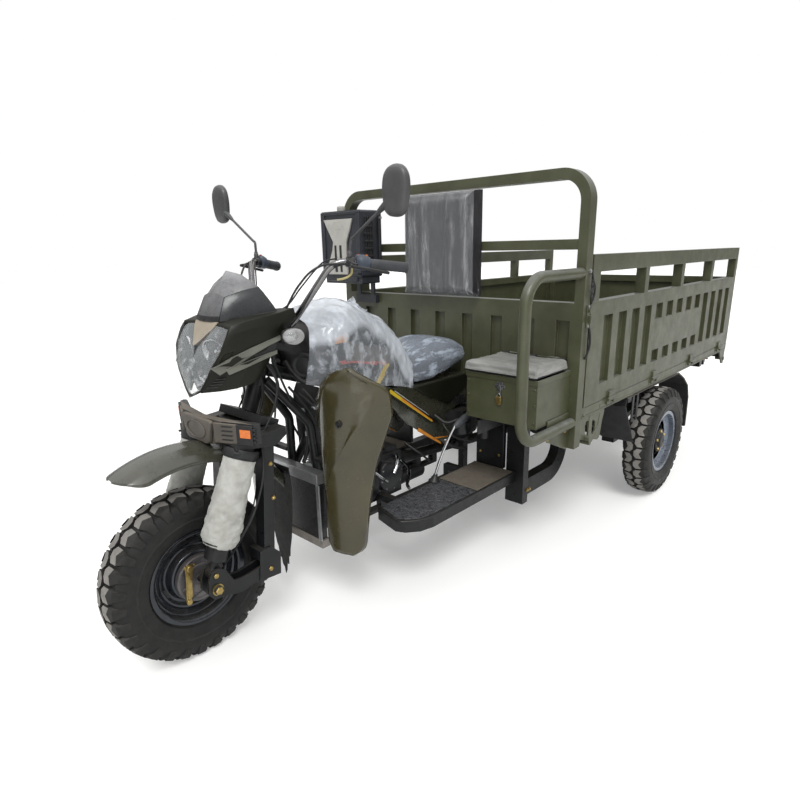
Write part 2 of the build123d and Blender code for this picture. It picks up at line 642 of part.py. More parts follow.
def make_bed_floor():
    w = bed_half_w
    plate = block(-w, w, bed_front, bed_rear, floor_z - floor_t, floor_z)
    beams = both(block(w - beam_w, w, bed_front, bed_rear, beam_low, floor_z))
    ends = block(-w, w, bed_front, bed_front + 40, beam_low, floor_z)
    ends += block(-w, w, bed_rear - 40, bed_rear, beam_low, floor_z)
    inner = block(-w + beam_w, w - beam_w, 1900, 1940, beam_low, floor_z)
    inner += block(-w + beam_w, w - beam_w, 2440, 2480, beam_low, floor_z)
    inner += block(-w + beam_w, w - beam_w, 2980, 3020, beam_low, floor_z)
    gusset = side_plate([(1468, beam_low + 4), (1468, 500), (1476, 484), (1490, 480), (1560, 520), (1612, beam_low + 4)],
                        w - 8, w)
    hole = side_plate([(1498, 606), (1498, 528), (1516, 522), (1556, 552), (1574, 606)], w - 20, w + 20)
    roller = rod((w - 46, 1478, 494), (w + 6, 1478, 494), 11)
    rear_gusset = side_plate([(3360, beam_low + 4), (3440, 530), (3470, 524), (3480, 540), (3480, beam_low + 4)],
                             w - 8, w)
    rear_roller = rod((w - 46, 3462, 560), (w + 6, 3462, 560), 11)
    lugs = None
    for y in hinge_places():
        for s in (-1, 1):
            y0 = y + s * (hinge_len + 0.5)
            y1 = y0 + s * 14
            lo = min(y0, y1)
            hi = max(y0, y1)
            lug = rod((w + hinge_out, lo, hinge_z), (w + hinge_out, hi, hinge_z), hinge_r)
            lug += block(w, w + hinge_out, lo, hi, hinge_z - 22, hinge_z)
            lugs = lug if lugs is None else lugs + lug
    pins = None
    for y in hinge_places():
        pin = rod((w + hinge_out, y - hinge_len - 2, hinge_z), (w + hinge_out, y + hinge_len + 2, hinge_z), 3.5)
        pins = pin if pins is None else pins + pin
    tail = None
    for x in tail_hinges():
        for s in (-1, 1):
            x0 = x + s * (hinge_len + 0.5)
            x1 = x0 + s * 14
            lug = rod((min(x0, x1), bed_rear + hinge_out, hinge_z), (max(x0, x1), bed_rear + hinge_out, hinge_z),
                      hinge_r)
            lug += block(min(x0, x1), max(x0, x1), bed_rear, bed_rear + hinge_out, hinge_z - 22, hinge_z)
            tail = lug if tail is None else tail + lug
        tail += rod((x - hinge_len - 2, bed_rear + hinge_out, hinge_z), (x + hinge_len + 2, bed_rear + hinge_out,
                                                                         hinge_z), 3.5)
    floor = plate + beams + ends + inner + both(gusset - hole + roller + rear_gusset + rear_roller + lugs + pins)
    parts["bed_floor"] = floor + tail


def hinge_places():
    return [1657.0, 2175.0, 2747.0, 3304.0]


def tail_hinges():
    return [-430.0, 0.0, 430.0]


def gate_posts():
    """Low and high y of each post above the gate's panel."""
    return [(gate_front, gate_front + 67), (1945, 1987), (2434, 2476), (2945, 2987), (bed_rear - 42, bed_rear)]


def make_side_gates():
    out = bed_half_w
    inn = out - gate_t
    low = floor_z + gate_gap
    panel = block(inn, out, gate_front, bed_rear, low, gate_panel_top)
    hollow = block(inn - 1, out - 26, gate_front + 40, bed_rear - 40, recess_low - 30, recess_high + 20)
    for i in range(recess_count):
        y0 = recess_first + i * recess_pitch
        short = 4 <= i <= 8
        spans = [(recess_low, blank_low), (blank_high, recess_high)] if short else [(recess_low, recess_high)]
        for z0, z1 in spans:
            panel -= block(out - recess_depth, out + 1, y0, y0 + recess_w, z0, z1)
    gate = panel - hollow
    rails = block(inn, out, gate_front, bed_rear, gate_rail_top - gate_rail_h, gate_rail_top)
    for y0, y1 in gate_posts():
        rails += block(inn, out, y0, y1, gate_panel_top, gate_rail_top - gate_rail_h)
    parts["gate_rails_left"] = rails
    parts["gate_rails_right"] = mirrored(rails)
    for y in hinge_places():
        gate += rod((out + hinge_out, y - hinge_len, hinge_z), (out + hinge_out, y + hinge_len, hinge_z), hinge_r)
        gate += block(out, out + hinge_out, y - hinge_len, y + hinge_len, hinge_z, hinge_z + 34)
        gate -= rod((out + hinge_out, y - hinge_len - 5, hinge_z), (out + hinge_out, y + hinge_len + 5, hinge_z), 3.6)
        gate -= block(out - 60, out + hinge_out, y - hinge_len - 16, y + hinge_len + 16, hinge_z - 10, floor_z + 0.5)
        knuckle = rod((out + hinge_out, y - hinge_len, hinge_z), (out + hinge_out, y + hinge_len, hinge_z), hinge_r)
        gate += knuckle & block(out + 0.6, out + 40, y - 60, y + 60, hinge_z - 20, hinge_z + 20)
        gate -= rod((out + hinge_out, y - hinge_len - 5, hinge_z), (out + hinge_out, y + hinge_len + 5, hinge_z), 3.6)
    parts["side_gate_left"] = gate
    parts["side_gate_right"] = mirrored(gate)


def make_tailgate():
    half = bed_half_w - gate_t - tail_gap
    low = floor_z + gate_gap
    back = bed_rear
    front = back - gate_t
    panel = block(-half, half, front, back, low, gate_panel_top)
    hollow = block(-half + 40, half - 40, front - 1, back - 26, recess_low - 30, recess_high + 20)
    pitch = board_recess_pitch
    for i in range(-3, 4):
        x0 = i * pitch - recess_w / 2
        panel -= block(x0, x0 + recess_w, back - recess_depth, back + 1, recess_low, recess_high)
    gate = panel - hollow
    for x in tail_hinges():
        knuckle = rod((x - hinge_len, back + hinge_out, hinge_z), (x + hinge_len, back + hinge_out, hinge_z), hinge_r)
        gate += knuckle & block(x - 60, x + 60, back + 0.6, back + 40, hinge_z - 20, hinge_z + 20)
        gate += block(x - hinge_len, x + hinge_len, back, back + hinge_out, hinge_z + 6, hinge_z + 34)
        gate -= rod((x - hinge_len - 5, back + hinge_out, hinge_z), (x + hinge_len + 5, back + hinge_out, hinge_z), 3.6)
    parts["tailgate"] = gate


def make_headboard():
    out = bed_half_w
    inn = out - post_w
    top = hoop_top
    outer = make_face(Polyline((-out, post_low), (-out, top), (out, top), (out, post_low), close=True))
    hoop = extrude(Plane(origin=(0, head_front, 0), x_dir=(1, 0, 0), z_dir=(0, -1, 0)) * outer, -post_d)
    edges = hoop.edges().filter_by(Axis.Y).sort_by(Axis.Z)[-2:]
    hoop = fillet(edges, hoop_bend)
    window = block(-inn, inn, head_front - 1, head_front + post_d + 1, post_low - 1, top - post_w)
    edges = window.edges().filter_by(Axis.Y).sort_by(Axis.Z)[-2:]
    window = fillet(edges, hoop_bend - post_w)
    hoop -= window
    mid = block(-inn, inn, head_front + 4, head_front + 42, mid_rail_low, mid_rail_high)
    panel = block(-inn, inn, head_front, head_front + post_d, floor_z, gate_panel_top)
    for i in range(-3, 5):
        x0 = i * board_recess_pitch - 30 - board_recess_w / 2
        panel -= block(x0, x0 + board_recess_w, head_front - 1, head_front + 18, floor_z + 40, 1018)
    panel -= block(-inn + 40, inn - 40, head_front + 26, head_front + post_d + 1, floor_z + 40, 1044)
    sill = block(-inn, inn, head_front, head_front + 37, rail_top, floor_z)
    board = hoop + mid + panel + sill
    parts["headboard"] = board - parts["bed_chassis"] - parts["main_frame"]
    parts["headboard"] = parts["headboard"].solids().sort_by(SortBy.VOLUME)[-1]


def make_seats():
    y1 = head_front - seat_gap
    box = block(box_x0, box_x1, box_front, y1, box_low, box_top)
    box -= block(box_x0 + box_wall, box_x1 - box_wall, box_front + box_wall, lid_rear - 14, box_low + box_wall,
                 box_top + 1)
    box += block(340, 610, y1 - 4, y1, box_top, lid_hinge_z)
    for x in (380.0, 570.0):
        box += rod((x - 20, lid_hinge_y, lid_hinge_z), (x + 20, lid_hinge_y, lid_hinge_z), 4.5)
        box += block(x - 20, x + 20, lid_hinge_y, y1 - 1, lid_hinge_z - 2, lid_hinge_z + 2)
    parts["tool_box"] = box
    low = box_top + lid_gap
    lid = block(box_x0 - 5, box_x1 - 1, box_front - 16, lid_rear, low, low + lid_t)
    lid = fillet(lid.edges().filter_by(Axis.Z), 12)
    lid = fillet(lid.faces().sort_by(Axis.Z)[-1].edges(), 6)
    for x in (345.0, 475.0, 605.0):
        lid += rod((x - 12, lid_hinge_y, lid_hinge_z), (x + 12, lid_hinge_y, lid_hinge_z), 4.5)
        lid += block(x - 12, x + 12, lid_rear - 12, lid_hinge_y, lid_hinge_z - 7.5, lid_hinge_z)
    parts["tool_box_lid"] = lid
    battery = block(-box_x1, -box_x0, box_front + 40, y1, 622, 800)
    parts["battery_box"] = fillet(battery.edges().filter_by(Axis.Z), 8)


def make_guard():
    y1 = head_front - seat_gap
    pts = [(guard_x, y1, guard_top), (guard_x, guard_front, guard_top), (guard_x, guard_front, guard_low),
           (guard_x, y1, guard_low)]
    parts["guard_rail"] = bent(pts, [guard_bend, guard_bend], guard_r)


def make_backrest():
    pad = block(-237, 190, head_front - 62, head_front + 4 - seat_gap, 1088.5, 1538)
    parts["backrest"] = fillet(pad.edges(), 10)


def make_air_filter():
    box = block(-670, -384, 1190, 1326, 1172, 1480)
    box = fillet(box.edges().filter_by(Axis.Y), 14)
    cap = rod((-590, 1256, 1478), (-590, 1256, 1506), 17)
    legs = block(-560, -536, 1316, 1326, 1050, 1180) + block(-460, -436, 1316, 1326, 1050, 1180)
    foot = block(-570, -426, 1326, head_front - seat_gap, 1040, 1080) + block(-570, -426, 1316, 1326, 1040, 1080)
    parts["air_filter"] = box + cap + legs + foot


def make_mudguards():
    x0 = 500.0
    x1 = 664.0
    outer = [(1876, 560), (1884, 604), (2600, 604), (2700, 560), (2790, 500), (2830, 420), (2836, 236), (2832, 236),
             (2826, 419), (2787, 497), (2698, 556), (2599, 600), (1888, 600), (1880, 560)]
    guard = side_plate(outer, x0, x1)
    front = side_plate([(1874, 562), (2008, 352), (2014, 356), (1880, 566)], x0, x1)
    web = side_plate([(1882, 562), (1887, 602), (2600, 602), (2699, 558), (2786, 498), (2600, 470), (2560, 540),
                      (2100, 540), (2010, 356)], x0, x0 + 3)
    stay = block(x0, 632, 2130, 2160, 600, beam_low - 4) + block(600, 632, 2130, 2160, 600, beam_low)
    guard = guard + front
    guard = guard + web + stay - parts["bed_chassis"]
    parts["mudguard_left"] = guard.solids().sort_by(SortBy.VOLUME)[-1]
    parts["mudguard_right"] = mirrored(parts["mudguard_left"])


def make_rear_axle():
    y = wheelbase
    z = tyre_r
    casing = [(-540, 0), (-540, 38), (-150, 38), (-96, 62), (-62, 104), (-40, 112), (40, 112), (62, 104), (96, 62),
              (150, 38), (540, 38), (540, 0)]
    tube = Pos(0, y, z) * revolve(Plane.XY * make_face(Polyline(*casing, close=True)), axis=Axis.X)
    nose = rod((0, y - 150, z), (0, y - 60, z), 58)
    half = rear_track / 2
    plates = both(rod((540, y, z), (552, y, z), 112) + rod((552, y, z), (half - 40, y, z), 60)
                  + rod((half - 41, y, z), (half + 28, y, z), rear_spindle_r))
    spring = None
    y0 = y - 460
    y1 = y + 460
    face = make_face(Line((y0, 508), (y0, 491)) + ThreePointArc((y0, 491), (y, 326), (y1, 491))
                     + Line((y1, 491), (y1, 508)) + ThreePointArc((y1, 508), (y, 358), (y0, 508)))
    leaf = extrude(Plane(origin=(400, 0, 0), x_dir=(0, 1, 0), z_dir=(1, 0, 0)) * face, 60)
    clamp = block(396, 464, y - 50, y + 50, z - 52, z + 84)
    eyes = None
    for ye in (y0, y1):
        eye = rod((395, ye, 500), (465, ye, 500), 18)
        eye += block(395, 455, ye - 14, ye + 14, 500, rail_low)
        eyes = eye if eyes is None else eyes + eye
    parts["rear_axle"] = tube + nose + plates + both(leaf + clamp + eyes)
    shaft = rod((0, 961, 400), (0, y - 151, z + 4), 24)
    joint_a = rod((0, 960.5, 400), (0, 1010, 393), 40)
    joint_b = rod((0, y - 200, z + 7), (0, y - 150.5, z), 42)
    parts["propshaft"] = (shaft + joint_a + joint_b - parts["engine"] - parts["rear_axle"]
                          - parts["main_frame"]).solids().sort_by(SortBy.VOLUME)[-1]


def make_tail():
    bar = block(-560, 560, 3446, 3482, 520, 560)
    hangers = both(block(rail_x - 14, rail_x + 14, 3440, 3446, 520, rail_top)
                   + block(rail_x - 14, rail_x + 14, 3446, 3452, 520, 600))
    lamps = both(block(440, 556, 3482, 3492, 500, 590) + block(440, 556, 3470, 3482, 500, 590))
    plate = block(-110, 110, 3482, 3485, 470, 565)
    plate -= both(rod((70, 3470, 548), (70, 3495, 548), 3.5))
    bar -= both(rod((70, 3440, 548), (70, 3495, 548), 3.5))
    parts["tail_lamps"] = bar + hangers + lamps + plate


def make_all():
    make_wheels()
    make_fork()
    make_swing_arms()
    make_shocks()
    make_fender()
    make_fairing()
    make_screen()
    make_fork_cover()
    make_handlebar()
    make_mirrors()
    make_signals()
    make_cables()
    make_main_frame()
    make_engine()
    make_exhaust()
    make_radiator()
    make_tank()
    make_saddle()
    make_body_cover()
    make_leg_shields()
    make_footboards()
    make_bed_chassis()
    make_bed_floor()
    make_side_gates()
    make_tailgate()
    make_headboard()
    make_seats()
    make_guard()
    make_backrest()
    make_air_filter()
    make_mudguards()
    make_rear_axle()
    make_tail()


def export_all():
    os.makedirs("parts", exist_ok=True)
    back = bed_rear + hinge_out + hinge_r
    shift = -(back - tyre_r) / 2
    print("shift in y", shift)
    for name, shape in parts.items():
        count = len(shape.solids())
        if count != 1:
            print("  more than one solid:", name, count)
        export_step(Pos(0, shift, 0) * shape, os.path.join("parts", name + ".step"))


make_all()
export_all()
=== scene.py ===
import json
import math

import bpy
from mathutils import Matrix, Vector, noise

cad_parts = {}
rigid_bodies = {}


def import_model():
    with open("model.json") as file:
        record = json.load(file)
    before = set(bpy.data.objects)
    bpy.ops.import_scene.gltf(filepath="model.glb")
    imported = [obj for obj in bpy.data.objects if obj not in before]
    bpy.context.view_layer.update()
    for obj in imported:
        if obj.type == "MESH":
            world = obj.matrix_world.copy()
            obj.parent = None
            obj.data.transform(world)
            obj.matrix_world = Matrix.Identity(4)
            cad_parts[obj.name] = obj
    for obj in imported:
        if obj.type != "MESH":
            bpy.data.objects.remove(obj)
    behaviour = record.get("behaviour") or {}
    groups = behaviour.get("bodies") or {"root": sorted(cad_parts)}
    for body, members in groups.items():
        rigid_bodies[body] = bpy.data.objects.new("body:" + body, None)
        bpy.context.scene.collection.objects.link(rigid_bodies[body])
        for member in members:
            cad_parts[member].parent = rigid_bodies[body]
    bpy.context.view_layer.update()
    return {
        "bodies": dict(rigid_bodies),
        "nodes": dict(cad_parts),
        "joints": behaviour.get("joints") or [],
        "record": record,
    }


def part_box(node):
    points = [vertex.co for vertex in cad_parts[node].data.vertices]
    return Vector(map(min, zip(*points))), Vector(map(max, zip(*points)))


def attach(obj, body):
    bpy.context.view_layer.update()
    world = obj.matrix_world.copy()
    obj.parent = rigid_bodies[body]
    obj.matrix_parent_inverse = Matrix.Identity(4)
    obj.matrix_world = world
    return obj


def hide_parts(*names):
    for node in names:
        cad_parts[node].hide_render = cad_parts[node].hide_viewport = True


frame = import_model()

# Cargo tricycle: finishes, tread, films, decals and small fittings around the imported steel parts.
nodes = frame["nodes"]
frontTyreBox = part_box("front_tyre")
# places below are millimetres, y back from the front axle
axleY = (frontTyreBox[0].y + frontTyreBox[1].y) / 2
axleZ = 288


def place(x, y, z):
    return Vector((x / 1000, axleY + y / 1000, z / 1000))


def places(points):
    return [place(*p) for p in points]


bothSides = ((1, "Left"), (-1, "Right"))


# view and light
view = {"eye": (1.659, axleY - 0.744, 1.304), "turn": 43.07, "down": 16.43, "lean": -1.105,
        "lens": 25.67, "shift": (-0.00144, 0.0203)}


def makeCamera():
    turn, down, lean = (math.radians(view[k]) for k in ("turn", "down", "lean"))
    forward = Vector((-math.sin(turn) * math.cos(down), math.cos(turn) * math.cos(down), -math.sin(down)))
    right = Vector((math.cos(turn), math.sin(turn), 0))
    up = right.cross(forward)
    right, up = (right * math.cos(lean) + up * math.sin(lean), up * math.cos(lean) - right * math.sin(lean))
    data = bpy.data.cameras.new("camera")
    data.lens = view["lens"]
    data.sensor_width = 36
    data.shift_x, data.shift_y = view["shift"]
    data.clip_start, data.clip_end = 0.05, 60
    camera = bpy.data.objects.new("camera", data)
    bpy.context.scene.collection.objects.link(camera)
    camera.matrix_world = Matrix((right, up, -forward)).transposed().to_4x4()
    camera.location = view["eye"]
    bpy.context.scene.camera = camera


def toLinear(code):
    channels = [int(code[i:i + 2], 16) / 255 for i in (1, 3, 5)]
    return [c / 12.92 if c <= 0.04045 else ((c + 0.055) / 1.055) ** 2.4 for c in channels] + [1.0]


def addNode(tree, kind, settings=None, links=None):
    # a link comes from a socket, or from a node, which stands for its first output
    made = tree.nodes.new("ShaderNode" + kind)
    for key, value in (settings or {}).items():
        if isinstance(key, int) or key in made.inputs:
            made.inputs[key].default_value = value
        else:
            setattr(made, key, value)
    for key, source in (links or {}).items():
        tree.links.new(source.outputs[0] if isinstance(source, bpy.types.Node) else source, made.inputs[key])
    return made


def newMaterial(name):
    made = bpy.data.materials.new(name)
    made.use_nodes = True
    made.node_tree.nodes.clear()
    return made, made.node_tree


studio = {"sky": "#ffffff", "skyLow": 0.34, "skyHigh": 1.0, "sheenLow": 0.12, "sheenHigh": 1.3,
          "sun": 1.75, "sunSoft": 24, "sunFrom": (0.55, -0.55, 1.0),
          "fill": 14, "fillFrom": (2.6, -3.6, 1.4), "floor": "#e9e9e7", "floorGlow": 0.26}


def linked(name, data):
    made = bpy.data.objects.new(name, data)
    bpy.context.scene.collection.objects.link(made)
    return made


def makeStudio():
    scene = bpy.context.scene
    scene.view_settings.view_transform = "Standard"
    world = bpy.data.worlds.new("softbox")
    world.use_nodes = True
    tree = world.node_tree
    tree.nodes.clear()
    path = addNode(tree, "LightPath")
    seen = addNode(tree, "Math", {"operation": "MAXIMUM"}, {0: path.outputs["Is Camera Ray"],
        1: path.outputs["Is Transmission Ray"]})
    way = addNode(tree, "SeparateXYZ", None, {0: addNode(tree, "TexCoord").outputs["Generated"]})
    rise = addNode(tree, "MapRange", {1: -0.1, 2: 0.9, 3: studio["skyLow"], 4: studio["skyHigh"]},
        {0: way.outputs[2]})
    sheen = addNode(tree, "MapRange", {1: 0.0, 2: 0.7, 3: studio["sheenLow"], 4: studio["sheenHigh"]},
        {0: way.outputs[2]})
    level = addNode(tree, "Mix", None, {0: path.outputs["Is Glossy Ray"], 2: rise, 3: sheen})
    light = addNode(tree, "Background", {"Color": toLinear(studio["sky"])}, {"Strength": level})
    white = addNode(tree, "Background", {"Color": toLinear(studio["sky"]), "Strength": 1.0})
    both = addNode(tree, "MixShader", None, {0: seen, 1: light, 2: white})
    addNode(tree, "OutputWorld", None, {"Surface": both})
    scene.world = world
    sun = bpy.data.lights.new("sun", "SUN")
    sun.energy = studio["sun"]
    sun.angle = math.radians(studio["sunSoft"])
    lamp = linked("sun", sun)
    lamp.rotation_euler = Vector(studio["sunFrom"]).to_track_quat("Z", "Y").to_euler()
    fill = bpy.data.lights.new("fill", "AREA")
    fill.energy = studio["fill"]
    fill.size = 2.2
    panel = linked("fill", fill)
    panel.location = studio["fillFrom"]
    aim = Vector(studio["fillFrom"]) - Vector((0, -0.9, 0.6))
    panel.rotation_euler = aim.to_track_quat("Z", "Y").to_euler()
    mesh = bpy.data.meshes.new("floor")
    mesh.from_pydata([(-30, -30, 0), (30, -30, 0), (30, 30, 0), (-30, 30, 0)], [], [(0, 1, 2, 3)])
    floor = linked("floor", mesh)
    floor.location.z = -0.0005
    paper, tree = newMaterial("matteFloorPaper")
    path = addNode(tree, "LightPath")
    matte = addNode(tree, "BsdfDiffuse", {"Color": toLinear(studio["floor"])})
    glow = addNode(tree, "Math", {"operation": "MULTIPLY", 1: studio["floorGlow"]},
        {0: path.outputs["Is Camera Ray"]})
    shine = addNode(tree, "Emission", {"Color": toLinear(studio["sky"])}, {"Strength": glow})
    total = addNode(tree, "AddShader", None, {0: matte, 1: shine})
    addNode(tree, "OutputMaterial", None, {"Surface": total})
    mesh.materials.append(paper)


makeCamera()
makeStudio()
print("camera, lamps and floor are set")

